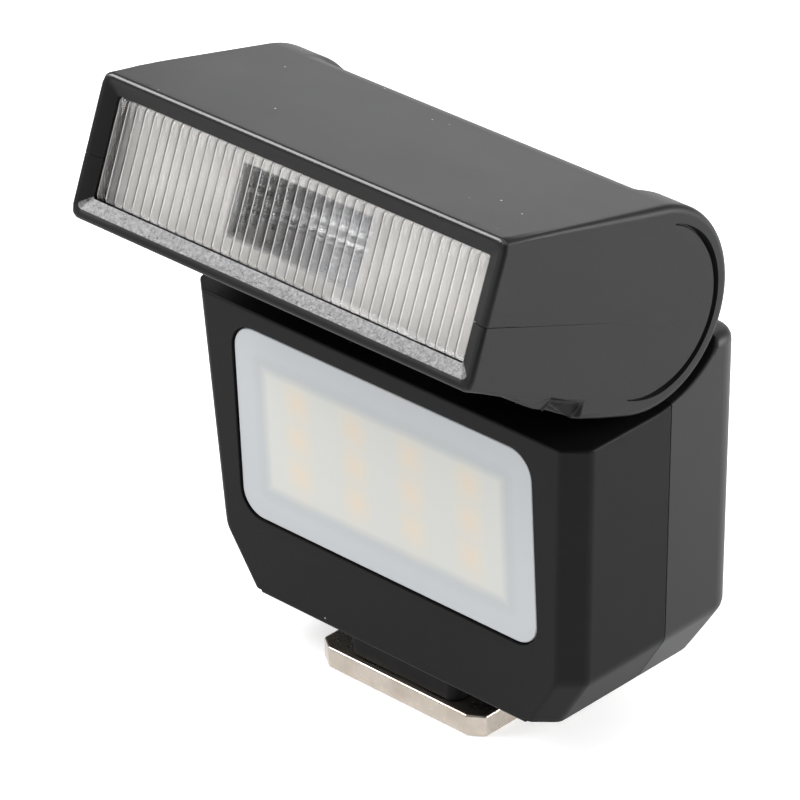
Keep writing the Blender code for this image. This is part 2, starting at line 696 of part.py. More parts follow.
def make_lens(pivot):
    """The clear front lens, ribbed on its outside."""
    front = -(FACE_FORWARD - BEVEL_DEPTH) + 0.2 * MM
    back = front + LENS_THICKNESS
    half = APERTURE_HALF_X - 0.2 * MM
    pitch = 2 * half / LENS_RIBS
    outline = [(half, back), (-half, back)]
    for rib in range(LENS_RIBS):
        left = -half + rib * pitch
        outline += [(left, front + RIB_DEPTH), (left + 0.5 * pitch, front)]
    outline.append((half, front + RIB_DEPTH))
    low, high = LENS_MIDDLE - APERTURE_HALF_Z + 0.2 * MM, LENS_MIDDLE + APERTURE_HALF_Z - 0.2 * MM
    place("ribbed_lens", prism(outline, "Z", low, high), CLEAR, parent=pivot)
    return back


def make_lamp(pivot, lens_back):
    """The silver backing, the mirror trough, the xenon tube with its seals, and the trigger board."""
    back_front = lens_back + 0.3 * MM
    back_back = back_front + 0.6 * MM
    half_x, half_z = APERTURE_HALF_X - 0.1 * MM, APERTURE_HALF_Z + 0.2 * MM
    backing = place(
        "silver_backing",
        box((-half_x, back_front, LENS_MIDDLE - half_z), (half_x, back_back, LENS_MIDDLE + half_z)),
        BACKING,
        parent=pivot,
    )
    hole = box(
        (-TROUGH_HALF_X, back_front - MM, LENS_MIDDLE - TROUGH_HALF_Z),
        (TROUGH_HALF_X, back_back + MM, LENS_MIDDLE + TROUGH_HALF_Z),
    )
    cut(backing, cutter("trough_window", hole, parent=pivot))

    trough_front = back_back + 0.1 * MM
    shell = 0.5 * MM
    outer = trough_outline(trough_front, TROUGH_HALF_Z + shell, TROUGH_DEPTH + shell)
    reflector = place(
        "reflector", prism(outer, "X", -TROUGH_HALF_X - shell, TROUGH_HALF_X + shell), MIRROR, parent=pivot
    )
    inner = trough_outline(trough_front - 0.01 * MM, TROUGH_HALF_Z, TROUGH_DEPTH)
    inner = [(inner[0][0] - MM, inner[0][1])] + inner + [(inner[-1][0] - MM, inner[-1][1])]
    cut(reflector, cutter("trough", prism(inner, "X", -TROUGH_HALF_X, TROUGH_HALF_X), parent=pivot))

    tube_y = trough_front + 0.68 * TROUGH_DEPTH
    reach = TROUGH_HALF_X + 3.6 * MM
    tube = rod((-reach, tube_y, LENS_MIDDLE), (reach, tube_y, LENS_MIDDLE), TUBE_RADIUS, 16)
    place("xenon_tube", tube, QUARTZ, parent=pivot)
    clearance = rod((-reach, tube_y, LENS_MIDDLE), (reach, tube_y, LENS_MIDDLE), TUBE_RADIUS + 0.15 * MM, 16)
    clearance_tool = cutter("tube_clearance", clearance, parent=pivot)
    cut(reflector, clearance_tool)
    for side, label in ((-1, "left"), (1, "right")):
        near = side * (TROUGH_HALF_X + shell + 0.3 * MM)
        seal = rod((near, tube_y, LENS_MIDDLE), (near + side * 1.8 * MM, tube_y, LENS_MIDDLE), 2.0 * MM, 20)
        cut(place(f"{label}_tube_seal", seal, RUBBER, parent=pivot), clearance_tool)

    board_low, board_high = (-15 * MM, -13.4 * MM, 3.6 * MM), (15 * MM, -6.4 * MM, 4.4 * MM)
    place("trigger_board", box(board_low, board_high), BOARD, parent=pivot)


def trough_outline(front, half, depth):
    """Returns a parabola that opens forward, in (y, z)."""
    steps = 10
    points = []
    for i in range(steps + 1):
        share = 2 * i / steps - 1
        points.append((front + depth * (1 - share**2), LENS_MIDDLE + share * half))
    return points


def make_hinge(pivot):
    """The shaft across the head, the two blocks that hold it and the friction washers at the bracket."""
    reach = HEAD_HALF - WALL - 1.0 * MM
    place("hinge_shaft", rod((-reach, 0, 0), (reach, 0, 0), SHAFT_RADIUS, 32), BRIGHT_STEEL, parent=pivot)
    bore = cutter("block_bore", rod((-reach, 0, 0), (reach, 0, 0), SHAFT_BORE, 32), parent=pivot)
    washer_in = BRACKET_HALF_X + 0.3 * MM
    washer_out = washer_in + 0.6 * MM
    block_in = washer_out + 0.3 * MM
    for side, label in ((-1, "left"), (1, "right")):
        washer = rod((side * washer_in, 0, 0), (side * washer_out, 0, 0), 3.6 * MM, 28)
        cut(place(f"{label}_friction_washer", washer, GOLD, parent=pivot), bore)
        ends = sorted((side * block_in, side * (block_in + 4 * MM)))
        block = box((ends[0], -3.6 * MM, -5.4 * MM), (ends[1], 3.6 * MM, 3.6 * MM))
        cut(place(f"{label}_shaft_block", block, BLACK_ABS, parent=pivot), bore)


def make_head_screws(pivot, upper, lower):
    """Two screws that close the head from below."""
    profile = screw_profile(1.5 * MM, 0.9 * MM, 0.8 * MM, 8.0 * MM, 0.8 * MM)
    forward = 6.0 * MM
    bottom = BELLY[-1][1]
    for side, label in ((-1, "left"), (1, "right")):
        x = side * 14.5 * MM
        head = bottom + 0.6 * MM
        turned(f"{label}_head_screw", profile, STEEL, (x, -forward, head), (0, 0, -1), pivot, 14)
        room = rod((x, -forward, bottom - 2 * MM), (x, -forward, head + 1.0 * MM), 1.8 * MM, 20)
        cut(lower, cutter(f"{label}_head_screw_sink", room, parent=pivot))
        hole = rod((x, -forward, bottom - 2 * MM), (x, -forward, head + 6 * MM), 1.1 * MM, 14)
        cut(lower, cutter(f"{label}_head_screw_hole", hole, parent=pivot))


def make_head():
    """The whole tilting head, built level and tilted by one empty on the hinge axis."""
    pivot = bpy.data.objects.new("head_pivot", None)
    FLASH.objects.link(pivot)
    pivot.location = (0, 0, HINGE_Z)
    pivot.rotation_euler = (-HEAD_TILT, 0, 0)
    upper, lower = make_head_shells(pivot)
    make_lamp(pivot, make_lens(pivot))
    make_hinge(pivot)
    make_head_screws(pivot, upper, lower)


clear_scene()
FLASH = make_collection("speedlight_flash")
CUTTERS = make_collection("cutters")
FOOT_SCREW_TOOLS = []

make_foot()
make_contact()
front_shell, rear_shell = make_body_shells()
make_led_panel(front_shell)
make_electronics(front_shell, rear_shell)
make_controls(rear_shell)
make_body_screws(rear_shell)
make_hinge_bracket()
make_head()
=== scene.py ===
"""A small shoe-mount speedlight: a tilting flash head over a body with a diffused LED panel.

Metres, +Z up. The origin is the centre of the foot's underside and the LED panel faces -Y.
The head is shaped level about its hinge axis, and turned to its rest tilt as each piece is finished.
"""

import logging
from dataclasses import dataclass
from enum import Enum
from math import asin, atan2, copysign, cos, hypot, pi, radians, sin, sqrt, tan
from typing import Any, Callable, Iterable, Sequence

import bmesh
import bpy
from mathutils import Matrix, Vector


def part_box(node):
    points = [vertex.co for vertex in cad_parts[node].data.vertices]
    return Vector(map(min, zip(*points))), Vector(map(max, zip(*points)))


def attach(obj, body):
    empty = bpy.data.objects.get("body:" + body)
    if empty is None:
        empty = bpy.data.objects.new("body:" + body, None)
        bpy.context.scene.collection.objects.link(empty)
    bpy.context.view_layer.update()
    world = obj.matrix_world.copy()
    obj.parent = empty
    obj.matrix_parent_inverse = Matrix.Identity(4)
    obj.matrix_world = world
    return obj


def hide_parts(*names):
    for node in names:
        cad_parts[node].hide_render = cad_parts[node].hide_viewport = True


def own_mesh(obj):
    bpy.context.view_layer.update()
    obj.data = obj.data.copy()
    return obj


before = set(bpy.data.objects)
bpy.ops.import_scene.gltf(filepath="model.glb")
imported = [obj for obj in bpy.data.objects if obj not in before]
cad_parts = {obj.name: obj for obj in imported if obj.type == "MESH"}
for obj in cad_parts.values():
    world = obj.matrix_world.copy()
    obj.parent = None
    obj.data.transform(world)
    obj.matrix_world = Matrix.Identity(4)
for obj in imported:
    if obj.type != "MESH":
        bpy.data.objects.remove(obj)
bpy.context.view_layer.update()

MM = 0.001
SMOOTH_ANGLE = radians(32)
HINGE = Vector((0, 0, 40.7 * MM))
HEAD_TILT = radians(23.5)
HEAD_PLACE = Matrix.Translation(HINGE) @ Matrix.Rotation(-HEAD_TILT, 4, "X")
# The height of the middle of the head's front opening, from the hinge with the head level.
LENS_MIDDLE = -0.55 * MM
# The four push buttons in the back, as the frame names them.
BUTTONS = ("mode", "minus", "plus", "test")
LOG = logging.getLogger("speedlight")

Outline = list[tuple[float, float]]
Corner = tuple[float, float, float]
Region = Callable[[Vector], bool]


# ---------------------------------------------------------------- drawing outlines and solids


class Axis(Enum):
    """The way an outline is pulled: its pairs are (y, z) along X, (x, z) along Y and (x, y) along Z."""

    X = "X"
    Y = "Y"
    Z = "Z"

    def spot(self, a: float, b: float, depth: float) -> Vector:
        """Returns the point of an outline's pair at a depth along this axis."""
        if self is Axis.X:
            return Vector((depth, a, b))
        if self is Axis.Y:
            return Vector((a, depth, b))
        return Vector((a, b, depth))


class Operation(Enum):
    """What a tool does to a workpiece."""

    CUT = "DIFFERENCE"
    KEEP = "INTERSECT"
    JOIN = "UNION"


def middle(node: str) -> Vector:
    """Returns the middle of a CAD node's box."""
    low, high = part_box(node)
    return (low + high) / 2


def smooth(share: float) -> float:
    """Returns a share eased at both ends and kept between 0 and 1."""
    share = min(max(share, 0.0), 1.0)
    return share * share * (3 - 2 * share)


def arc(centre: tuple[float, float], radius: float, start: float, end: float, steps: int) -> Outline:
    """Returns points on an arc, both ends included; the angles are in radians."""
    turn = (end - start) / steps
    return [
        (centre[0] + radius * cos(start + turn * i), centre[1] + radius * sin(start + turn * i))
        for i in range(steps + 1)
    ]


def rounded(corners: Sequence[Corner], steps: int = 5) -> Outline:
    """Rounds a polygon's corners.

    Args:
        corners: (a, b, radius) for each corner; one with radius 0 stays sharp.
        steps: straight pieces on each rounded corner.

    Returns:
        The closed outline, in the corners' order.
    """
    points: Outline = []
    for index, (a, b, radius) in enumerate(corners):
        here = Vector((a, b))
        if radius <= 0:
            points.append((a, b))
            continue
        back = (Vector(corners[index - 1][:2]) - here).normalized()
        onward = (Vector(corners[(index + 1) % len(corners)][:2]) - here).normalized()
        half = back.angle(onward) / 2
        heart = here + (back + onward).normalized() * radius / sin(half)
        first = here + back * radius / tan(half) - heart
        last = here + onward * radius / tan(half) - heart
        sweep = first.angle(last)
        for step in range(steps + 1):
            share = step / steps
            spoke = (sin((1 - share) * sweep) * first + sin(share * sweep) * last) / sin(sweep)
            points.append(tuple(heart + spoke))
    return points


def inset(outline: Outline, depths: float | Sequence[float]) -> Outline:
    """Moves an outline inwards, square to its sides.

    Args:
        outline: a closed outline.
        depths: one depth for all points, or one for each.

    Returns:
        The outline with each point moved.
    """
    count = len(outline)
    if isinstance(depths, (int, float)):
        depths = [depths] * count
    area = sum(
        outline[i - 1][0] * outline[i][1] - outline[i][0] * outline[i - 1][1] for i in range(count)
    )
    side = 1 if area > 0 else -1
    moved: Outline = []
    for i, (a, b) in enumerate(outline):
        arriving = (Vector((a, b)) - Vector(outline[i - 1])).normalized()
        leaving = (Vector(outline[(i + 1) % count]) - Vector((a, b))).normalized()
        inward = [Vector((-way.y, way.x)) * side for way in (arriving, leaving)]
        bisector = (inward[0] + inward[1]).normalized()
        reach = depths[i] / max(bisector.dot(inward[0]), 0.3)
        moved.append((a + bisector.x * reach, b + bisector.y * reach))
    return moved


def loft(rings: Sequence[Sequence[Vector]]) -> bmesh.types.BMesh:
    """Returns a closed skin through rings of equal length, flat at both ends."""
    bm = bmesh.new()
    rows = [[bm.verts.new(point) for point in ring] for ring in rings]
    for low, high in zip(rows, rows[1:]):
        for i in range(len(low)):
            j = (i + 1) % len(low)
            bm.faces.new((low[i], low[j], high[j], high[i]))
    bm.faces.new(rows[0])
    bm.faces.new(rows[-1])
    bmesh.ops.recalc_face_normals(bm, faces=bm.faces)
    return bm


def slab(
    outline: Outline, axis: Axis, low: float, high: float, low_edge: float = 0.0, high_edge: float = 0.0,
    steps: int = 3,
) -> bmesh.types.BMesh:
    """Pulls an outline along an axis and rounds the edges at its two ends.

    Args:
        outline: the closed outline.
        axis: the way it is pulled.
        low: where it starts along the axis.
        high: where it ends.
        low_edge: rounding radius of the edge at the start.
        high_edge: rounding radius of the edge at the end.
        steps: straight pieces on each rounding.

    Returns:
        The closed solid.
    """
    levels: list[tuple[float, float]] = []
    for place, edge, way in ((low, low_edge, 1), (high, high_edge, -1)):
        turns = [(place, 0.0)]
        if edge > 0:
            turns = [
                (place + way * edge * (1 - sin(pi / 2 * i / steps)), edge * (1 - cos(pi / 2 * i / steps)))
                for i in range(steps + 1)
            ]
        levels += turns[::-1] if way > 0 else turns
    return loft([[axis.spot(a, b, depth) for a, b in inset(outline, by)] for depth, by in levels])


def rod(
    start: Sequence[float], end: Sequence[float], radius: float, segments: int = 32, edge: float = 0.0,
    end_radius: float | None = None,
) -> bmesh.types.BMesh:
    """Returns a round bar or cone between two points, its end edges rounded by edge."""
    first, last = Vector(start), Vector(end)
    way = last - first
    far = radius if end_radius is None else end_radius
    profile = [(radius, 0.0), (far, way.length)]
    if edge > 0:
        turns = [(edge * (1 - cos(pi / 2 * i / 3)), edge * (1 - sin(pi / 2 * i / 3))) for i in range(4)]
        profile = [(radius - dr, dz) for dr, dz in turns[::-1]]
        profile += [(far - dr, way.length - dz) for dr, dz in turns]
    place = Matrix.Translation(first) @ way.to_track_quat("Z", "Y").to_matrix().to_4x4()
    rings = [
        [place @ Vector((r * cos(2 * pi * i / segments), r * sin(2 * pi * i / segments), z))
         for i in range(segments)]
        for r, z in profile
    ]
    return loft(rings)


def turned(profile: Sequence[tuple[float, float]], segments: int = 40) -> bmesh.types.BMesh:
    """Returns a turned solid about Z, from (radius, height) pairs whose first and last lie on the axis."""
    bm = bmesh.new()
    tip, tail = bm.verts.new((0, 0, profile[0][1])), bm.verts.new((0, 0, profile[-1][1]))
    rows = [
        [bm.verts.new((r * cos(2 * pi * i / segments), r * sin(2 * pi * i / segments), z))
         for i in range(segments)]
        for r, z in profile[1:-1]
    ]
    for i in range(segments):
        j = (i + 1) % segments
        bm.faces.new((tip, rows[0][i], rows[0][j]))
        for high, low in zip(rows, rows[1:]):
            bm.faces.new((high[j], high[i], low[i], low[j]))
        bm.faces.new((tail, rows[-1][j], rows[-1][i]))
    bmesh.ops.recalc_face_normals(bm, faces=bm.faces)
    return bm


def boxed(low: tuple[float, float], high: tuple[float, float], radius: float, steps: int) -> Outline:
    """Returns the outline of a rectangle with rounded corners, from its lower left corner."""
    corners = ((low[0], low[1]), (high[0], low[1]), (high[0], high[1]), (low[0], high[1]))
    return rounded([(a, b, radius) for a, b in corners], steps)


def block(low: Sequence[float], high: Sequence[float]) -> bmesh.types.BMesh:
    """Returns a plain box between two corners, for a tool."""
    return slab([(low[0], low[1]), (high[0], low[1]), (high[0], high[1]), (low[0], high[1])], Axis.Z,
                low[2], high[2])


class Workpiece:
    """A solid on the bench: tools cut it, its edges are eased, and it leaves as a finished object."""

    def __init__(self, name: str, solid: bmesh.types.BMesh) -> None:
        """Puts a solid on the bench under the name that its object will have."""
        self.name = name
        self.mesh = self._mesh(name, solid)

    @staticmethod
    def _mesh(name: str, solid: bmesh.types.BMesh) -> bpy.types.Mesh:
        """Returns a bmesh as a mesh and frees it."""
        mesh = bpy.data.meshes.new(name)
        solid.to_mesh(mesh)
        solid.free()
        return mesh

    def cut(self, tool: bmesh.types.BMesh, operation: Operation = Operation.CUT) -> "Workpiece":
        """Uses up a tool on the workpiece.

        Args:
            tool: a closed solid.
            operation: whether the tool is cut out, kept or joined.

        Returns:
            The workpiece, for the next step.
        """
        blank = bpy.data.objects.new("blank", self.mesh)
        helper = bpy.data.objects.new("tool", self._mesh("tool", tool))
        for obj in (blank, helper):
            bpy.context.scene.collection.objects.link(obj)
        boolean = blank.modifiers.new("cut", "BOOLEAN")
        boolean.operation = operation.value
        boolean.object = helper
        boolean.solver = "EXACT"
        graph = bpy.context.evaluated_depsgraph_get()
        self.mesh = bpy.data.meshes.new_from_object(blank.evaluated_get(graph), depsgraph=graph)
        for obj in (blank, helper):
            old = obj.data
            bpy.data.objects.remove(obj)
            bpy.data.meshes.remove(old)
        self.mesh.name = self.name
        return self

    def twin(self, name: str) -> "Workpiece":
        """Returns a copy of the workpiece under another name."""
        bm = bmesh.new()
        bm.from_mesh(self.mesh)
        return Workpiece(name, bm)

    def ease(self, radius: float, where: Region, steps: int = 2, steep: float = 35.0) -> "Workpiece":
        """Rounds the steep edges whose both ends lie in a region.

        Args:
            radius: rounding width.
            where: tells whether a point lies in the region.
            steps: segments across the rounding.
            steep: least angle in degrees between an edge's faces.

        Returns:
            The workpiece, for the next step.
        """
        bm = bmesh.new()
        bm.from_mesh(self.mesh)
        bmesh.ops.remove_doubles(bm, verts=bm.verts, dist=0.002 * MM)
        bmesh.ops.dissolve_degenerate(bm, edges=bm.edges, dist=0.001 * MM)
        edges = [
            edge for edge in bm.edges
            if len(edge.link_faces) == 2 and edge.calc_face_angle(0.0) > radians(steep)
            and all(where(vert.co) for vert in edge.verts)
        ]
        bmesh.ops.bevel(
            bm, geom=edges, offset=radius, offset_type="OFFSET", segments=steps, profile=0.5, affect="EDGES",
            clamp_overlap=False, loop_slide=True, material=-1,
        )
        self.mesh = self._mesh(self.name, bm)
        return self

    def finish(
        self, materials: Iterable[bpy.types.Material], place: Matrix | None = None,
        pick: Callable[[Vector], int] | None = None,
    ) -> bpy.types.Object:
        """Takes the workpiece off the bench.

        Args:
            materials: its finishes; the first one covers all of it, unless pick says otherwise.
            place: turns and moves its mesh into the row frame.
            pick: gives the number of the finish for a face's middle.

        Returns:
            The finished object, its origin at the row's origin.
        """
        if pick is not None:
            for face in self.mesh.polygons:
                face.material_index = int(pick(face.center))
        return finished(self.name, self.mesh, materials, place)


def finished(
    name: str, mesh: bpy.types.Mesh, materials: Iterable[bpy.types.Material], place: Matrix | None = None
) -> bpy.types.Object:
    """Makes the object of a finished mesh, smooth except at its steep edges."""
    if place is not None:
        mesh.transform(place)
    mesh.name = name
    numbers = [face.material_index for face in mesh.polygons]
    mesh.materials.clear()
    for material in materials:
        mesh.materials.append(material)
    mesh.polygons.foreach_set("material_index", numbers)
    mesh.shade_smooth()
    mesh.set_sharp_from_angle(angle=SMOOTH_ANGLE)
    piece = bpy.data.objects.new(name, mesh)
    bpy.context.scene.collection.objects.link(piece)
    even_shading(piece)
    return piece


def even_shading(piece: bpy.types.Object) -> None:
    """Gives a finished object normals that follow its large faces, so that flat walls shade flat."""
    modifier = piece.modifiers.new("even_shading", "WEIGHTED_NORMAL")
    modifier.keep_sharp = True
    modifier.weight = 50
    bpy.context.view_layer.update()
    depsgraph = bpy.context.evaluated_depsgraph_get()
    mesh = bpy.data.meshes.new_from_object(piece.evaluated_get(depsgraph), depsgraph=depsgraph)
    old, name = piece.data, piece.data.name
    piece.modifiers.clear()
    piece.data = mesh
    bpy.data.meshes.remove(old)
    mesh.name = name


def joined(name: str, pieces: Sequence[bpy.types.Object]) -> bpy.types.Object:
    """Joins finished pieces into one, which keeps each one's finish."""
    bm = bmesh.new()
    materials: list[bpy.types.Material] = []
    for piece in pieces:
        start = len(bm.faces)
        bm.from_mesh(piece.data)
        bm.faces.ensure_lookup_table()
        for material in piece.data.materials:
            if material not in materials:
                materials.append(material)
        for face in bm.faces[start:]:
            face.material_index = materials.index(piece.data.materials[face.material_index])
        old = piece.data
        bpy.data.objects.remove(piece)
        bpy.data.meshes.remove(old)
    return finished(name, Workpiece._mesh(name, bm), materials)


def settle(piece: bpy.types.Object, body: str, slot: str, *nodes: str) -> bpy.types.Object:
    """Gives a finished piece its place in the assembly.

    Args:
        piece: the finished object.
        body: the CAD body that it moves with.
        slot: the name of a material slot; not used.
        nodes: the CAD nodes that it stands for.

    Returns:
        The piece.
    """
    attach(piece, body)
    if nodes:
        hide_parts(*nodes)
    LOG.info("%s: %d faces, rides on %s, stands for %s", piece.name, len(piece.data.polygons), body,
             ", ".join(nodes) or "nothing")
    return piece


# ---------------------------------------------------------------- finishes


def linear(code: str) -> tuple[float, float, float, float]:
    """Returns an sRGB hex colour as the linear colour that a shader takes."""
    parts = [int(code[i:i + 2], 16) / 255 for i in (1, 3, 5)]
    red, green, blue = (p / 12.92 if p <= 0.04045 else ((p + 0.055) / 1.055) ** 2.4 for p in parts)
    return red, green, blue, 1.0


def add_node(
    tree: bpy.types.NodeTree, kind: str, settings: dict[str, Any] | None = None,
    values: dict[Any, Any] | None = None, links: dict[Any, bpy.types.NodeSocket] | None = None,
) -> bpy.types.Node:
    """Adds one node to a tree.

    Args:
        tree: a shader or Geometry Nodes tree.
        kind: the node's type name.
        settings: the node's own attributes.
        values: constants, by input name or number.
        links: the outputs that feed its inputs, by input name or number.

    Returns:
        The node.
    """
    node = tree.nodes.new(kind)
    for name, value in (settings or {}).items():
        setattr(node, name, value)
    for socket, value in (values or {}).items():
        node.inputs[socket].default_value = value
    for socket, source in (links or {}).items():
        tree.links.new(source, node.inputs[socket])
    return node


@dataclass(frozen=True)
class Finish:
    """A plain finish; the others build on it with their own texture."""

    name: str
    colour: str
    roughness: float
    metallic: float = 0.0
    ior: float = 1.5
    specular: float = 0.5
    transmission: float = 0.0
    alpha: float = 1.0

    def material(self) -> bpy.types.Material:
        """Returns the finish's material, made once."""
        made = bpy.data.materials.get(self.name)
        if made is not None:
            return made
        made = bpy.data.materials.new(self.name)
        made.use_nodes = True
        shader = made.node_tree.nodes["Principled BSDF"]
        shader.inputs["Base Color"].default_value = linear(self.colour)
        shader.inputs["Roughness"].default_value = self.roughness
        shader.inputs["Metallic"].default_value = self.metallic
        if self.metallic < 0.5:
            shader.inputs["IOR"].default_value = self.ior
        shader.inputs["Specular IOR Level"].default_value = self.specular
        shader.inputs["Transmission Weight"].default_value = self.transmission
        shader.inputs["Alpha"].default_value = self.alpha
        self.dress(made.node_tree, shader)
        return made

    def dress(self, tree: bpy.types.NodeTree, shader: bpy.types.Node) -> None:
        """Adds the finish's texture; a plain one has none."""

    def noise(
        self, tree: bpy.types.NodeTree, size: float, detail: float = 2.0,
        stretch: tuple[float, float, float] = (1, 1, 1),
    ) -> bpy.types.NodeSocket:
        """Returns a noise whose features are about size across, in metres."""
        coords = add_node(tree, "ShaderNodeTexCoord")
        mapping = add_node(
            tree, "ShaderNodeMapping",
            values={"Scale": stretch},
            links={"Vector": coords.outputs["Object"]},
        )
        cloud = add_node(
            tree, "ShaderNodeTexNoise", values={"Scale": 1 / size, "Detail": detail, "Roughness": 0.6},
            links={"Vector": mapping.outputs[0]},
        )
        return cloud.outputs["Fac"]

    def spread(
        self, tree: bpy.types.NodeTree, source: bpy.types.NodeSocket, low: float, high: float,
        first: float = 0.3, last: float = 0.7,
    ) -> bpy.types.NodeSocket:
        """Returns a source that runs from first to last spread over low to high."""
        ranged = add_node(
            tree, "ShaderNodeMapRange", values={1: first, 2: last, 3: low, 4: high}, links={0: source}
        )
        return ranged.outputs[0]

    def blend(
        self, tree: bpy.types.NodeTree, share: bpy.types.NodeSocket,
        under: bpy.types.NodeSocket | str, over: str,
    ) -> bpy.types.NodeSocket:
        """Returns one colour laid over another by a share."""
        mix = add_node(tree, "ShaderNodeMix", {"data_type": "RGBA"}, {7: linear(over)}, {0: share})
        if isinstance(under, str):
            mix.inputs[6].default_value = linear(under)
        else:
            tree.links.new(under, mix.inputs[6])
        return mix.outputs[2]

    def calc(self, tree: bpy.types.NodeTree, operation: str, *terms: Any) -> bpy.types.NodeSocket:
        """Returns what a Math node makes of sockets and numbers."""
        node = add_node(tree, "ShaderNodeMath", {"operation": operation})
        for index, term in enumerate(terms):
            if isinstance(term, bpy.types.NodeSocket):
                tree.links.new(term, node.inputs[index])
            else:
                node.inputs[index].default_value = term
        return node.outputs[0]

    def relief(
        self, tree: bpy.types.NodeTree, shader: bpy.types.Node, height: bpy.types.NodeSocket, depth: float,
    ) -> None:
        """Feeds a height between 0 and 1 to the shader's normal, depth being its real relief in metres."""
        bump = add_node(
            tree, "ShaderNodeBump", values={"Strength": 1.0, "Distance": depth}, links={"Height": height}
        )
        tree.links.new(bump.outputs[0], shader.inputs["Normal"])


@dataclass(frozen=True)
class MouldedPlastic(Finish):
    """Injection-moulded plastic from a spark-eroded tool: a matt grain and slight unevenness of tone."""

    grain: float = 0.18 * MM
    relief_depth: float = 0.010 * MM
    tone: str = "#2a2a2b"
    patch: float = 7 * MM
    lint: float = 0.0

    def dress(self, tree: bpy.types.NodeTree, shader: bpy.types.Node) -> None:
        """Adds the grain, the patchy tone and sheen that handling leaves, and a few specks of lint; made fine
        with a light tone, the patches paint glints.
        """
        tone_patches_and_glints = self.noise(tree, self.patch, 3.0)
        colour = self.blend(tree, self.spread(tree, tone_patches_and_glints, 0.0, 1.0), self.colour, self.tone)
        if self.lint > 0:
            coords = add_node(tree, "ShaderNodeTexCoord")
            cells = add_node(
                tree, "ShaderNodeTexVoronoi", {"feature": "F1"}, {"Scale": 1 / (1.5 * MM), "Randomness": 1.0},
                {"Vector": coords.outputs["Object"]},
            )
            speck = add_node(tree, "ShaderNodeMath", {"operation": "LESS_THAN"}, {1: 0.055},
                             {0: cells.outputs["Distance"]})
            chance = add_node(tree, "ShaderNodeSeparateColor", links={0: cells.outputs["Color"]})
            rare = add_node(tree, "ShaderNodeMath", {"operation": "LESS_THAN"}, {1: self.lint},
                            {0: chance.outputs[0]})
            both = add_node(tree, "ShaderNodeMath", {"operation": "MULTIPLY"}, None,
                            {0: speck.outputs[0], 1: rare.outputs[0]})
            colour = self.blend(tree, both.outputs[0], colour, "#b9b9b9")
        tree.links.new(colour, shader.inputs["Base Color"])
        tree.links.new(
            self.spread(tree, tone_patches_and_glints, self.roughness - 0.01, self.roughness + 0.015),
            shader.inputs["Roughness"]
        )
        self.relief(tree, shader, self.noise(tree, self.grain, 3.0), self.relief_depth)


@dataclass(frozen=True)
class PlatedMetal(Finish):
    """Metal with a thin plating: fine scuffs one way and a slightly uneven gloss."""

    scuff: float = 0.12 * MM
    scuff_depth: float = 0.002 * MM
    stretch: tuple[float, float, float] = (0.12, 1.0, 1.0)
    tone: str = "#b8ae9e"

    def dress(self, tree: bpy.types.NodeTree, shader: bpy.types.Node) -> None:
        """Adds the scuffs and the uneven gloss."""
        clouds = self.noise(tree, 2.5 * MM, 3.0)
        tree.links.new(
            self.blend(tree, self.spread(tree, clouds, 0.0, 1.0), self.colour, self.tone),
            shader.inputs["Base Color"],
        )
        tree.links.new(
            self.spread(tree, clouds, self.roughness * 0.8, self.roughness * 1.35), shader.inputs["Roughness"]
        )
        self.relief(tree, shader, self.noise(tree, self.scuff, 2.0, self.stretch), self.scuff_depth)


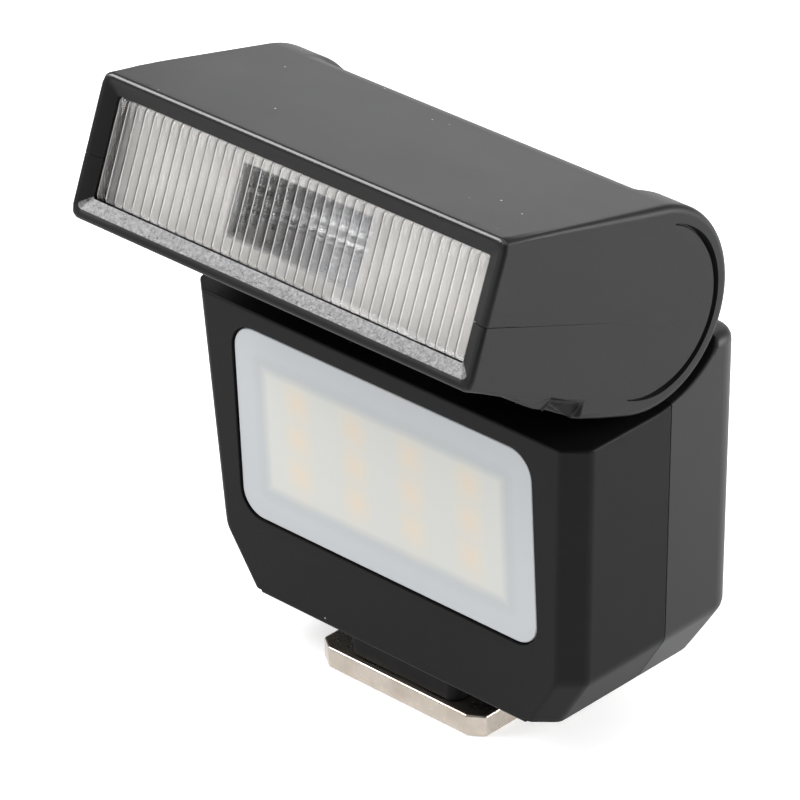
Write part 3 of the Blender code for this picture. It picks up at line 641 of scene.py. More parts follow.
@dataclass(frozen=True)
class LedWindow(Finish):
    """Opal acrylic over LEDs: a plain border where it is glued, and the warm LEDs showing through."""

    half_x: float = 16.65 * MM
    half_z: float = 8.87 * MM
    centre_z: float = 20.72 * MM
    led_z: float = 0.38 * MM
    border: float = 2.5 * MM
    pitch_x: float = 6.4 * MM
    pitch_z: float = 3.3 * MM
    inner: str = "#c8c9c4"
    shade: str = "#abb0b3"
    warm: str = "#d3c8b8"

    def dress(self, tree: bpy.types.NodeTree, shader: bpy.types.Node) -> None:
        """Adds the greyer middle, the LEDs and the faint columns of light between them."""
        coords = add_node(tree, "ShaderNodeTexCoord")
        centred = add_node(
            tree, "ShaderNodeVectorMath", {"operation": "SUBTRACT"}, {1: (0, 0, self.centre_z)},
            {0: coords.outputs["Object"]},
        )
        parts = add_node(tree, "ShaderNodeSeparateXYZ", links={0: centred.outputs[0]})
        across, up = parts.outputs["X"], parts.outputs["Z"]

        def calc(operation: str, *terms: Any) -> bpy.types.NodeSocket:
            """Returns what a Math node of this tree makes of its terms."""
            return self.calc(tree, operation, *terms)

        radius = 0.5 * MM
        past_x = calc("SUBTRACT", calc("ABSOLUTE", across), self.half_x - self.border - radius)
        past_z = calc("SUBTRACT", calc("ABSOLUTE", up), self.half_z - self.border - radius)
        out_x, out_z = calc("MAXIMUM", past_x, 0.0), calc("MAXIMUM", past_z, 0.0)
        corner = calc("SQRT", calc("ADD", calc("MULTIPLY", out_x, out_x), calc("MULTIPLY", out_z, out_z)))
        inside = calc("MINIMUM", calc("MAXIMUM", past_x, past_z), 0.0)
        edge = calc("SUBTRACT", calc("ADD", corner, inside), radius)
        middle_share = self.spread(tree, edge, 1.0, 0.0, -1.3 * MM, 0.2 * MM)
        lit = self.blend(tree, middle_share, self.colour, self.inner)
        step = self.spread(tree, calc("ABSOLUTE", calc("ADD", edge, 0.3 * MM)), 0.55, 0.0, 0.05 * MM,
                           0.9 * MM)
        lit = self.blend(tree, step, lit, self.shade)

        column = calc("DIVIDE", calc("WRAP", across, 0.0, self.pitch_x), self.pitch_x)
        column = calc("ABSOLUTE", calc("SUBTRACT", column, 0.5))
        rise_led = calc("SUBTRACT", up, self.led_z)
        row = calc("ABSOLUTE", calc("WRAP", rise_led, self.pitch_z / 2, -self.pitch_z / 2))
        in_row = calc("LESS_THAN", calc("ABSOLUTE", rise_led), 1.5 * self.pitch_z)
        in_column = calc("LESS_THAN", calc("ABSOLUTE", across), 2 * self.pitch_x)
        side = calc("DIVIDE", calc("MULTIPLY", column, self.pitch_x), 1.5 * MM)
        rise = calc("DIVIDE", row, 1.65 * MM)
        reach = calc("POWER", calc("ADD", calc("POWER", side, 3.0), calc("POWER", rise, 3.0)), 1 / 3)
        spot = self.spread(tree, reach, 1.0, 0.0, 0.15, 1.3)
        spot = calc("MULTIPLY", calc("MULTIPLY", spot, in_row), in_column)
        streak = calc("MULTIPLY", self.spread(tree, side, 0.30, 0.0, 0.3, 1.3), in_column)
        ends = self.spread(tree, calc("ABSOLUTE", up), 1.0, 0.0, 4.6 * MM, 6.2 * MM)
        glow = calc("MAXIMUM", spot, calc("MULTIPLY", streak, ends))
        lit = self.blend(tree, glow, lit, self.warm)
        tree.links.new(lit, shader.inputs["Base Color"])
        self.relief(tree, shader, self.noise(tree, 0.25 * MM, 2.0), 0.003 * MM)


@dataclass(frozen=True)
class RibbedClear(Finish):
    """Clear acrylic with upright ribs: one flank of each groove carries a painted shade line, the other is
    frosted and scatters light.
    """

    half_x: float = 20.28 * MM
    ribs: int = 40
    front: float = 18.1 * MM
    shade: str = "#3a3735"

    def dress(self, tree: bpy.types.NodeTree, shader: bpy.types.Node) -> None:
        """Adds the painted shade line and the frosted flank, on the front surface only."""
        coords = add_node(tree, "ShaderNodeTexCoord")
        parts = add_node(tree, "ShaderNodeSeparateXYZ", links={0: coords.outputs["Object"]})
        travelled = self.calc(tree, "MULTIPLY_ADD", parts.outputs["X"], self.ribs / (2 * self.half_x),
                              self.ribs / 2)
        along = self.calc(tree, "FRACT", self.calc(tree, "ADD", travelled, 0.5))
        shaded, frosted = (
            self.spread(tree, self.calc(tree, "ABSOLUTE", self.calc(tree, "SUBTRACT", along, middle)), 1.0,
                        0.0,
                        0.03, 0.09)
            for middle in (0.385, 0.535)
        )
        ahead = add_node(
            tree, "ShaderNodeVectorMath", {"operation": "DOT_PRODUCT"},
            {1: (0, -cos(HEAD_TILT), sin(HEAD_TILT))},
            {0: coords.outputs["Object"]},
        )
        limit = self.front + HINGE.z * sin(HEAD_TILT)
        facing = self.calc(tree, "GREATER_THAN", ahead.outputs["Value"], limit)
        # Painted shade: a dark line along one flank of each groove.
        share = self.calc(tree, "MULTIPLY", shaded, facing)
        tree.links.new(self.blend(tree, share, self.colour, self.shade), shader.inputs["Base Color"])
        clear = self.calc(tree, "MULTIPLY_ADD", self.calc(tree, "MULTIPLY", frosted, facing), -0.95, 1.0)
        tree.links.new(clear, shader.inputs["Transmission Weight"])


@dataclass(frozen=True)
class CircuitBoard(Finish):
    """Glass-fibre board under solder mask, with the copper tracks showing as a paler pattern."""

    track: str = "#2f7a4c"
    pad_pitch: float = 2.54 * MM

    def dress(self, tree: bpy.types.NodeTree, shader: bpy.types.Node) -> None:
        """Adds the tracks and the weave that shows faintly through the mask."""
        coords = add_node(tree, "ShaderNodeTexCoord")
        tracks = add_node(
            tree, "ShaderNodeTexBrick", {"offset": 0.5},
            {"Color1": (1, 1, 1, 1), "Color2": (0.6, 0.6, 0.6, 1), "Mortar": (0, 0, 0, 1),
             "Scale": 1 / self.pad_pitch, "Mortar Size": 0.06},
            {"Vector": coords.outputs["Object"]},
        )
        tree.links.new(self.blend(tree, tracks.outputs["Fac"], self.colour, self.track),
                       shader.inputs["Base Color"])
        self.relief(tree, shader, tracks.outputs["Fac"], 0.02 * MM)


@dataclass(frozen=True)
class SoftSkin(Finish):
    """Film, sleeve or rubber: creases or pores at one scale, and a second tone in them."""

    crease: float = 2.0 * MM
    crease_depth: float = 0.05 * MM
    tone: str = "#808080"

    def dress(self, tree: bpy.types.NodeTree, shader: bpy.types.Node) -> None:
        """Adds the creases and their tone."""
        folds = self.noise(tree, self.crease, 4.0)
        tree.links.new(
            self.blend(tree, self.spread(tree, folds, 0.0, 1.0), self.colour, self.tone),
            shader.inputs["Base Color"]
        )
        self.relief(tree, shader, folds, self.crease_depth)


class Rack:
    """The finishes of this flash, each named for the real one."""

    # ABS moulded in black on a fine spark-eroded tool: matt, with a grey sheen where light grazes it.
    BODY = MouldedPlastic("moulded_black_abs", "#101011", 0.50, specular=0.11, tone="#131314", lint=0.05)
    # The head is the same ABS, rubbed a little glossier by hands.
    HEAD = MouldedPlastic("moulded_black_abs_head", "#151516", 0.46, specular=0.20, tone="#19191a", lint=0.12)
    # The bezel's lower slope carries a coarse spark-eroded grain, glossy, with fine light speckles of tone
    # that paint its glints.
    BEZEL = MouldedPlastic(
        "spark_eroded_black_abs_painted_glints", "#0c0c0d", 0.28, specular=1.0, tone="#8a8a8b", grain=0.22 * MM,
        relief_depth=0.08 * MM, patch=0.3 * MM,
    )
    # The head's upper front edge: the same ABS, glossier, and painted lighter as a highlight along it.
    EDGE = MouldedPlastic("glossy_black_abs_edge_painted_highlight", "#1d1d1e", 0.26, specular=0.9, tone="#232324")
    # The rear shell: the same ABS, a little glossier, and painted lighter so that the rear of the sides shows
    # brighter.
    REAR = MouldedPlastic("moulded_black_abs_rear", "#171718", 0.47, specular=0.28, tone="#1a1a1b", lint=0.05)
    # Buttons of the same ABS with a finer grain.
    BUTTON = MouldedPlastic("satin_black_abs", "#1b1b1c", 0.40, tone="#202021", grain=0.12 * MM,
                            relief_depth=0.006 * MM)
    # Nickel on pressed steel: warm grey, with fine scuffs along the way that the foot slides.
    NICKEL = PlatedMetal("nickel_plated_steel", "#c8bfb5", 0.27, 1.0, stretch=(1.0, 0.12, 1.0),
                         tone="#b6aca0")
    # Zinc on small screws: cool grey, barely scuffed.
    ZINC = PlatedMetal("zinc_plated_steel", "#b9babc", 0.30, 1.0, tone="#a3a5a8")
    # Screws blackened in an oil bath: dark, with an oily gloss.
    BLACKENED = PlatedMetal("blackened_steel", "#3a3a3d", 0.36, 1.0, tone="#2c2c2f")
    # Cold-rolled steel of the hinge bracket: grey, brushed up and down.
    ROLLED = PlatedMetal("cold_rolled_steel", "#8f9092", 0.34, 1.0, stretch=(1.0, 1.0, 0.1), tone="#77787b")
    # Gold over nickel on contacts: yellow and glossy.
    GOLD = PlatedMetal("gold_plated_brass", "#e3b866", 0.18, 1.0, tone="#d3a550")
    # Phosphor bronze washers: reddish, turned.
    BRONZE = PlatedMetal("phosphor_bronze", "#b9835a", 0.30, 1.0, tone="#a37048")
    # Opal acrylic that spreads the LEDs' light: milky and faintly blue.
    OPAL = LedWindow("opal_acrylic", "#b8bbbe", 0.38, ior=1.49, specular=0.3)
    # Clear acrylic of the front lens: water-clear, with a painted shade line and a frosted line at each rib.
    LENS = RibbedClear("clear_acrylic", "#ffffff", 0.03, ior=1.49, transmission=1.0, alpha=0.52)
    # Polycarbonate light pipe, slightly milky.
    PIPE = Finish("milky_polycarbonate", "#f4f6f6", 0.25, ior=1.58, transmission=0.6)
    # Polished aluminium sheet of the trough: a soft mirror.
    MIRROR = PlatedMetal("polished_aluminium", "#f2f2f3", 0.28, 1.0, scuff=0.4 * MM, tone="#dcdcde")
    # The trough's end walls: the same sheet, a little rougher, and painted darker as shade.
    TROUGH_END = PlatedMetal("dulled_aluminium_painted_shade", "#77787a", 0.35, 1.0, scuff=0.5 * MM, tone="#5c5d60")
    # Aluminised card behind the lens: satin silver-white.
    CARD = SoftSkin("aluminised_card", "#faf7f3", 0.42, 0.0, specular=0.5, crease=3.0 * MM,
                    crease_depth=0.03 * MM, tone="#e9e5e0")
    # Quartz of the flash tube: clear and glossy.
    QUARTZ = Finish("fused_quartz", "#ffffff", 0.02, ior=1.46, transmission=1.0)
    # Tungsten electrodes in the tube: dark grey.
    TUNGSTEN = PlatedMetal("tungsten", "#6c6b6a", 0.42, 1.0, tone="#565554")
    # White silicone tube seals: soft and dull.
    SILICONE = SoftSkin("silicone_rubber", "#c9cbca", 0.65, crease=0.5 * MM, crease_depth=0.01 * MM,
                        tone="#bcbebd")
    # Glass-fibre board, green mask.
    BOARD = CircuitBoard("green_solder_mask", "#1c5a35", 0.38, ior=1.55)
    # White solder mask of the LED board.
    WHITE_BOARD = CircuitBoard("white_solder_mask", "#e8e8e4", 0.38, ior=1.55, track="#d8d6cf")
    # Yellow phosphor in silicone, on the LEDs.
    PHOSPHOR = SoftSkin("led_phosphor", "#f0cf74", 0.5, crease=0.3 * MM, crease_depth=0.01 * MM,
                        tone="#e8c260")
    # Black epoxy of switches and other packages.
    EPOXY = SoftSkin("black_epoxy", "#1d1d1e", 0.55, crease=0.2 * MM, crease_depth=0.01 * MM, tone="#252526")
    # Shrink sleeve of the flash capacitor: dark blue-black, with fine length-wise creases.
    SLEEVE = SoftSkin("pvc_shrink_sleeve", "#15171d", 0.32, crease=1.2 * MM, crease_depth=0.03 * MM,
                      tone="#1c1f27")
    # Aluminium-laminate pouch of the battery: silvery, softly creased.
    POUCH = SoftSkin("aluminium_laminate", "#a8abae", 0.34, 0.8, crease=3.5 * MM, crease_depth=0.12 * MM,
                     tone="#9a9da1")


# ---------------------------------------------------------------- repeated things, by Geometry Nodes


class Pattern:
    """A Geometry Nodes tree with named inputs, which ends in Realize Instances and Set Material."""

    SOCKETS = {float: "NodeSocketFloat", int: "NodeSocketInt", tuple: "NodeSocketVector"}

    def __init__(self, name: str, sizes: dict[str, Any]) -> None:
        """Starts a tree whose inputs are a geometry, the sizes and a material."""
        self.tree = bpy.data.node_groups.new(name, "GeometryNodeTree")
        face = self.tree.interface
        face.new_socket("Geometry", in_out="INPUT", socket_type="NodeSocketGeometry")
        for label, value in sizes.items():
            face.new_socket(label, in_out="INPUT", socket_type=self.SOCKETS[type(value)])
        face.new_socket("Material", in_out="INPUT", socket_type="NodeSocketMaterial")
        face.new_socket("Geometry", in_out="OUTPUT", socket_type="NodeSocketGeometry")
        self.sizes = sizes
        self.start = add_node(self.tree, "NodeGroupInput")

    def size(self, label: str) -> bpy.types.NodeSocket:
        """Returns the socket of a named input."""
        return self.start.outputs[label]

    def calc(self, operation: str, *terms: Any) -> bpy.types.NodeSocket:
        """Returns a sum of sockets and numbers."""
        node = add_node(self.tree, "ShaderNodeMath", {"operation": operation})
        for index, term in enumerate(terms):
            if isinstance(term, bpy.types.NodeSocket):
                self.tree.links.new(term, node.inputs[index])
            else:
                node.inputs[index].default_value = term
        return node.outputs[0]

    def vector(self, x: Any = 0.0, y: Any = 0.0, z: Any = 0.0) -> bpy.types.NodeSocket:
        """Returns a vector of sockets and numbers."""
        node = add_node(self.tree, "ShaderNodeCombineXYZ")
        for index, term in enumerate((x, y, z)):
            if isinstance(term, bpy.types.NodeSocket):
                self.tree.links.new(term, node.inputs[index])
            else:
                node.inputs[index].default_value = term
        return node.outputs[0]

    def close(self, geometry: bpy.types.NodeSocket) -> "Pattern":
        """Ends the tree with a geometry made real and given its material."""
        real = add_node(self.tree, "GeometryNodeRealizeInstances", links={"Geometry": geometry})
        dressed = add_node(
            self.tree, "GeometryNodeSetMaterial",
            links={"Geometry": real.outputs[0], "Material": self.start.outputs["Material"]},
        )
        add_node(self.tree, "NodeGroupOutput", links={0: dressed.outputs[0]})
        return self

    def grow(
        self, name: str, points: Sequence[Sequence[float]], material: bpy.types.Material,
        place: Matrix | None = None,
    ) -> bpy.types.Object:
        """Runs the tree once and keeps its result as a plain mesh.

        Args:
            name: the piece's name.
            points: where the repeated thing stands, for a tree that reads its geometry.
            material: the piece's finish.
            place: turns and moves the result into the row frame.

        Returns:
            The finished object, without a modifier.
        """
        base = bpy.data.meshes.new("points")
        base.from_pydata([tuple(point) for point in points], [], [])
        grower = bpy.data.objects.new("grower", base)
        bpy.context.scene.collection.objects.link(grower)
        modifier = grower.modifiers.new("pattern", "NODES")
        modifier.node_group = self.tree
        for item in self.tree.interface.items_tree:
            if item.item_type == "SOCKET" and item.in_out == "INPUT":
                if item.name in self.sizes:
                    modifier[item.identifier] = self.sizes[item.name]
                elif item.name == "Material":
                    modifier[item.identifier] = material
        graph = bpy.context.evaluated_depsgraph_get()
        mesh = bpy.data.meshes.new_from_object(grower.evaluated_get(graph), depsgraph=graph)
        bpy.data.objects.remove(grower)
        bpy.data.meshes.remove(base)
        return finished(name, mesh, [material], place)


class ScrewPattern(Pattern):
    """Cross-recessed screws that stand on points, their heads towards +Z before they are turned."""

    def __init__(self, name: str, head: float, height: float, shank: float, length: float,
                 turn: tuple) -> None:
        """Builds the tree for one size of screw, turned by an Euler rotation."""
        super().__init__(name, {
            "Head Radius": head, "Head Height": height, "Shank Radius": shank, "Length": length,
            "Recess Width": 0.32 * head, "Turn": turn,
        })
        tree = self.tree
        crown = add_node(
            tree, "GeometryNodeMeshCylinder", {"fill_type": "NGON"}, {"Vertices": 28, "Side Segments": 1},
            {"Radius": self.size("Head Radius"), "Depth": self.size("Head Height")},
        )
        lowered = add_node(
            tree, "GeometryNodeTransform",
            links={"Geometry": crown.outputs["Mesh"],
                   "Translation": self.vector(z=self.calc("MULTIPLY", self.size("Head Height"), -0.5))},
        )
        bar = self.calc("MULTIPLY", self.size("Head Radius"), 1.15)
        deep = self.calc("MULTIPLY", self.size("Head Height"), 1.1)
        bars = []
        for across, along in ((bar, self.size("Recess Width")), (self.size("Recess Width"), bar)):
            cube = add_node(tree, "GeometryNodeMeshCube", links={"Size": self.vector(across, along, deep)})
            bars.append(cube.outputs["Mesh"])
        drilled = add_node(tree, "GeometryNodeMeshBoolean", {"operation": "DIFFERENCE", "solver": "EXACT"},
                           links={"Mesh 1": lowered.outputs[0]})
        for mesh in bars:
            tree.links.new(mesh, drilled.inputs["Mesh 2"])
        stem = add_node(
            tree, "GeometryNodeMeshCylinder", {"fill_type": "NGON"}, {"Vertices": 20, "Side Segments": 1},
            {"Radius": self.size("Shank Radius"), "Depth": self.size("Length")},
        )
        down = self.calc("MULTIPLY_ADD", self.size("Length"), -0.5,
                         self.calc("MULTIPLY", self.size("Head Height"), -0.98))
        hung = add_node(tree, "GeometryNodeTransform",
                        links={"Geometry": stem.outputs["Mesh"], "Translation": self.vector(z=down)})
        screw = add_node(tree, "GeometryNodeJoinGeometry")
        for mesh in (drilled.outputs["Mesh"], hung.outputs[0]):
            tree.links.new(mesh, screw.inputs[0])
        turning = add_node(tree, "FunctionNodeEulerToRotation", links={0: self.size("Turn")})
        stood = add_node(
            tree, "GeometryNodeInstanceOnPoints",
            links={"Points": self.start.outputs["Geometry"], "Instance": screw.outputs[0],
                   "Rotation": turning.outputs[0]},
        )
        self.close(stood.outputs[0])


class RibbedPanePattern(Pattern):
    """A clear pane with upright ribs on its front (-Y), each a shallow crown beside a narrow groove."""

    STEPS = 12

    def __init__(self, width: float, height: float, thickness: float, ribs: int) -> None:
        """Builds the tree of the pane, centred on X and Z, its front at -thickness / 2."""
        super().__init__("ribbed_pane", {
            "Width": width, "Height": height, "Thickness": thickness, "Ribs": ribs,
            "Groove Depth": 0.07 * MM, "Crown": 0.03 * MM, "End Height": 0.32 * MM, "End Depth": 0.16 * MM,
        })
        tree = self.tree
        columns = self.calc("MULTIPLY_ADD", self.size("Ribs"), float(self.STEPS), 1.0)
        cube = add_node(
            tree, "GeometryNodeMeshCube", values={"Vertices Y": 2, "Vertices Z": 6},
            links={"Size": self.vector(self.size("Width"), self.size("Thickness"), self.size("Height")),
                   "Vertices X": columns},
        )
        spot = add_node(tree, "GeometryNodeInputPosition")
        parts = add_node(tree, "ShaderNodeSeparateXYZ", links={0: spot.outputs[0]})
        along, away, up = parts.outputs[0], parts.outputs[1], parts.outputs[2]
        pitch = self.calc("DIVIDE", self.size("Width"), self.size("Ribs"))
        travelled = self.calc("DIVIDE", self.calc("MULTIPLY_ADD", self.size("Width"), 0.5, along), pitch)
        share = self.calc("FRACT", self.calc("ADD", travelled, 0.0001))
        groove = self.calc(
            "MAXIMUM",
            self.calc("SUBTRACT", 1.0, self.calc(
                "DIVIDE", self.calc("ABSOLUTE", self.calc("SUBTRACT", share, 0.9167)), 0.083
            )),
            0.0,
        )
        crown = self.calc("MAXIMUM", self.calc("MULTIPLY", share, self.calc("SUBTRACT", 0.8333, share)), 0.0)
        crown = self.calc("MULTIPLY", self.calc("DIVIDE", crown, 0.1736), self.size("Crown"))
        rows = self.calc("ABSOLUTE", self.calc("DIVIDE", up, self.size("Height")))
        last = self.calc("GREATER_THAN", rows, 0.45)
        sunk = self.calc("SUBTRACT", self.calc("MULTIPLY", groove, self.size("Groove Depth")), crown)
        sunk = self.calc("MULTIPLY_ADD", last, self.size("End Depth"), sunk)
        ribbed = add_node(
            tree, "GeometryNodeSetPosition",
            links={"Geometry": cube.outputs["Mesh"], "Selection": self.calc("LESS_THAN", away, 0.0),
                   "Offset": self.vector(y=sunk)},
        )
        second = self.calc("MULTIPLY", self.calc("GREATER_THAN", rows, 0.25),
                           self.calc("LESS_THAN", rows, 0.45))
        edge = self.calc("SUBTRACT", self.calc("MULTIPLY", self.size("Height"), 0.5), self.size("End Height"))
        moved = self.calc("SUBTRACT", self.calc("MULTIPLY", self.calc("SIGN", up), edge), up)
        stretched = add_node(
            tree, "GeometryNodeSetPosition",
            links={"Geometry": ribbed.outputs[0], "Selection": second, "Offset": self.vector(z=moved)},
        )
        self.close(stretched.outputs[0])


class LedPattern(Pattern):
    """LED packages that stand on points and face -Y."""

    def __init__(self, width: float, depth: float, height: float) -> None:
        """Builds the tree of a rectangular package with a raised phosphor dome."""
        super().__init__("led_package", {"Width": width, "Depth": depth, "Height": height,
                                         "Dome": 0.42 * height})
        tree = self.tree
        base = add_node(
            tree, "GeometryNodeMeshCube",
            links={"Size": self.vector(self.size("Width"), self.size("Depth"), self.size("Height"))},
        )
        dome = add_node(tree, "GeometryNodeMeshUVSphere", values={"Segments": 16, "Rings": 8},
                        links={"Radius": self.size("Dome")})
        flat = add_node(
            tree, "GeometryNodeTransform", values={"Scale": (1.2, 0.3, 1.0)},
            links={"Geometry": dome.outputs["Mesh"],
                   "Translation": self.vector(y=self.calc("MULTIPLY", self.size("Depth"), -0.5))},
        )
        package = add_node(tree, "GeometryNodeJoinGeometry")
        for mesh in (base.outputs["Mesh"], flat.outputs[0]):
            tree.links.new(mesh, package.inputs[0])
        stood = add_node(tree, "GeometryNodeInstanceOnPoints",
                         links={"Points": self.start.outputs["Geometry"], "Instance": package.outputs[0]})
        self.close(stood.outputs[0])


# ---------------------------------------------------------------- foot


@dataclass
class ShoeFoot:
    """The metal shoe plate with its pedestal, insulator, sprung contact and four screws."""

    nose_x: float = 1.4 * MM
    nose_y: float = 0.9 * MM
    corner: float = 0.35 * MM
    edge: float = 0.22 * MM
    insulator: float = 4.0 * MM
    contact: float = 1.2 * MM
    flange: float = 1.9 * MM
    gap: float = 0.15 * MM

    def build(self) -> None:
        """Makes and settles every piece of the foot."""
        low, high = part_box("foot_plate")
        corners = [
            (low.x, high.y, self.corner), (low.x, low.y + self.nose_y, self.corner),
            (low.x + self.nose_x, low.y, self.corner), (high.x - self.nose_x, low.y, self.corner),
            (high.x, low.y + self.nose_y, self.corner), (high.x, high.y, self.corner),
        ]
        plate = Workpiece("shoe_plate", slab(rounded(corners), Axis.Z, low.z, high.z, self.edge, self.edge))
        plate.cut(rod((0, 0, -MM), (0, 0, 3 * MM), self.insulator + self.gap, 56))
        screws = [middle(f"foot_screw_{i}") for i in range(1, 5)]
        for spot in screws:
            plate.cut(rod((spot.x, spot.y, -0.3 * MM), (spot.x, spot.y, 1.5 * MM), 2.25 * MM, 36,
                          end_radius=1.1 * MM))
            plate.cut(rod((spot.x, spot.y, -MM), (spot.x, spot.y, 3 * MM), 1.0 * MM, 24))
        plate.ease(0.1 * MM, lambda p: abs(p.z) < 0.02 * MM and hypot(p.x, p.y) < 4.3 * MM)
        settle(plate.finish([Rack.NICKEL.material()]), "body", "nickel_foot", "foot_plate")

        low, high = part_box("foot_neck")
        sides = [(low.x, low.y), (high.x, low.y), (high.x, high.y), (low.x, high.y)]
        neck = Workpiece(
            "pedestal",
            slab(rounded([(x, y, MM) for x, y in sides], 6), Axis.Z, low.z - 0.15 * MM, high.z + 0.15 * MM,
                 0.1 * MM),
        )
        neck.cut(rod((0, 0, 0), (0, 0, 4.1 * MM), self.flange + 0.3 * MM, 40))
        for spot in screws:
            neck.cut(rod((spot.x, spot.y, 0), (spot.x, spot.y, 8 * MM), 1.15 * MM, 24))
        settle(neck.finish([Rack.BODY.material()]), "body", "black_abs", "foot_neck")

        low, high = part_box("contact_insulator")
        disc = Workpiece("contact_insulator_disc", rod((0, 0, low.z), (0, 0, high.z), self.insulator, 56,
                                                       0.15 * MM))
        disc.cut(rod((0, 0, -MM), (0, 0, 3 * MM), self.contact + 0.25 * MM, 36))
        settle(disc.finish([Rack.BUTTON.material()]), "body", "black_abs", "contact_insulator")

        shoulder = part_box("centre_contact")[1].z
        profile = [
            (0, shoulder), (self.flange - 0.1 * MM, shoulder), (self.flange, shoulder - 0.1 * MM),
            (self.flange, shoulder - 0.4 * MM), (self.contact, shoulder - 0.4 * MM),
            (self.contact, 0.45 * MM),
            (self.contact - 0.1 * MM, 0.16 * MM), (self.contact - 0.35 * MM, 0.03 * MM), (0.4 * MM, 0.0),
            (0, 0.0),
        ]
        pin = Workpiece("contact_pin", turned(profile))
        settle(pin.finish([Rack.GOLD.material()]), "centre_contact", "gold_contact", "centre_contact")

        heads = [(spot.x, spot.y, 0.12 * MM) for spot in screws]
        pattern = ScrewPattern("shoe_screw", 1.75 * MM, 0.9 * MM, 0.85 * MM, 5.6 * MM, (pi, 0.0, 0.4))
        piece = pattern.grow("shoe_screws", heads, Rack.ZINC.material())
        settle(piece, "body", "bright_steel", *(f"foot_screw_{i}" for i in range(1, 5)))


# ---------------------------------------------------------------- body


@dataclass
class BodyHousing:
    """The body's front and rear shells, which meet on a parting line around the sides."""

    front_y: float = -8.6 * MM
    back_y: float = 10.3 * MM
    seam_y: float = 2.0 * MM
    seam_gap: float = 0.06 * MM
    bottom_z: float = 4.5 * MM
    corner_z: float = 9.6 * MM
    deck_z: float = 31.4 * MM
    crest_z: float = 35.3 * MM
    half_bottom: float = 17.25 * MM
    half_corner: float = 20.6 * MM
    half_deck: float = 21.9 * MM
    chamfer_x: float = 1.9 * MM
    chamfer_y: float = 1.6 * MM
    chamfer_round: float = 0.9 * MM
    rear_round: float = 2.4 * MM
    rear_tuck: float = 1.0 * MM
    crest_round: float = 1.1 * MM
    bottom_round: float = 0.3 * MM
    wall: float = 1.4 * MM
    cradle: float = 9.3 * MM
    edge: float = 0.25 * MM
    plinth_half: float = 15.0 * MM
    plinth_step: float = 0.35 * MM

    def half(self, z: float) -> float:
        """Returns the outer half width at a height; the turn above the bottom chamfers is soft."""
        low = self.half_bottom + (self.half_corner - self.half_bottom) * (z - self.bottom_z) / (
            self.corner_z - self.bottom_z)
        high = self.half_corner + (self.half_deck - self.half_corner) * (z - self.corner_z) / (
            self.deck_z - self.corner_z)
        soft = 0.3 * MM
        share = max(soft - abs(low - high), 0.0) / soft
        return min(low, high) - share * share * soft / 4

    def plan(self, z: float, soft: bool = True) -> Outline:
        """Returns the plan outline at a height, with soft or sharp corners."""
        half = self.half(z)
        tuck_share = (self.corner_z + 0.5 * MM - z) / (1.6 * (self.corner_z - self.bottom_z))
        back = self.back_y - self.rear_tuck * smooth(tuck_share)
        near, far = (self.chamfer_round, self.rear_round) if soft else (0.0, 0.0)
        return rounded([
            (self.chamfer_x - half, self.front_y, near), (half - self.chamfer_x, self.front_y, near),
            (half, self.front_y + self.chamfer_y, near), (half, back, far),
            (-half, back, far), (-half, self.front_y + self.chamfer_y, near),
        ], 7)

    def blank(self) -> bmesh.types.BMesh:
        """Returns the whole outer shape, rounded at its bottom and its crest."""
        levels: list[tuple[float, float]] = []
        for i in range(4, -1, -1):
            turn = pi / 2 * i / 4
            levels.append((self.bottom_z + self.bottom_round * (1 - sin(turn)),
                           self.bottom_round * (1 - cos(turn))))
        levels += [(self.bottom_z + share * (self.corner_z - self.bottom_z), 0.0)
                   for share in (0.2, 0.4, 0.6, 0.75)]
        levels += [(self.corner_z + step * 0.2 * MM, 0.0) for step in range(-3, 4)]
        for i in range(7):
            turn = pi / 2 * i / 6
            levels.append((self.crest_z - self.crest_round * (1 - sin(turn)),
                           self.crest_round * (1 - cos(turn))))
        return loft([[Vector((x, y, z)) for x, y in inset(self.plan(z), by)] for z, by in levels])

    def above(self, radius: float, deck: float) -> bmesh.types.BMesh:
        """Returns what lies above the body: a flat deck at the front, then an arc about the hinge."""
        reach = sqrt(radius**2 - (HINGE.z - self.crest_z - MM) ** 2)
        turn = asin(reach / radius)
        outline = [(reach, 60 * MM), (-14 * MM, 60 * MM), (-14 * MM, deck)]
        outline += arc((0, HINGE.z), radius, -pi / 2, turn - pi / 2, 28)
        return slab(outline, Axis.X, -30 * MM, 30 * MM)

    def room(self) -> bmesh.types.BMesh:
        """Returns the hollow inside, one wall thickness in from the outside."""
        levels = (self.bottom_z + self.wall, self.corner_z, self.crest_z + MM)
        rings = []
        for z in levels:
            ring = inset(self.plan(z, soft=False), self.wall)
            rings.append([Vector((x, y, z)) for x, y in ring])
        return loft(rings)

    def build(self) -> None:
        """Makes and settles both shells."""
        front_y, back_y = self.front_y, self.back_y
        whole = Workpiece("whole_housing", self.blank())
        for side in (-1, 1):
            ends = sorted((side * self.plinth_half, side * 30 * MM))
            whole.cut(block((ends[0], -20 * MM, 0), (ends[1], 20 * MM, self.bottom_z + self.plinth_step)))
        whole.cut(self.above(self.cradle, self.deck_z))
        whole.ease(self.edge, lambda p: self.deck_z - 0.1 * MM < p.z < self.crest_z - 0.05 * MM, 3, 30)
        inner = Workpiece("inner", self.room())
        inner.cut(self.above(self.cradle + self.wall, self.deck_z - self.wall))
        hollow = bmesh.new()
        hollow.from_mesh(inner.mesh)
        whole.cut(hollow)

        low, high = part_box("light_diffuser")
        gap = 0.12 * MM
        window = rounded([
            (low.x - gap, low.z - gap, 2.4 * MM), (high.x + gap, low.z - gap, 2.4 * MM),
            (high.x + gap, high.z + gap, 2.4 * MM), (low.x - gap, high.z + gap, 2.4 * MM),
        ], 8)
        whole.cut(slab(window, Axis.Y, front_y - MM, front_y + 3 * MM))
        whole.ease(0.1 * MM, lambda p: p.y < front_y + 0.01 * MM and 11 * MM < p.z < 30.5 * MM, 2)

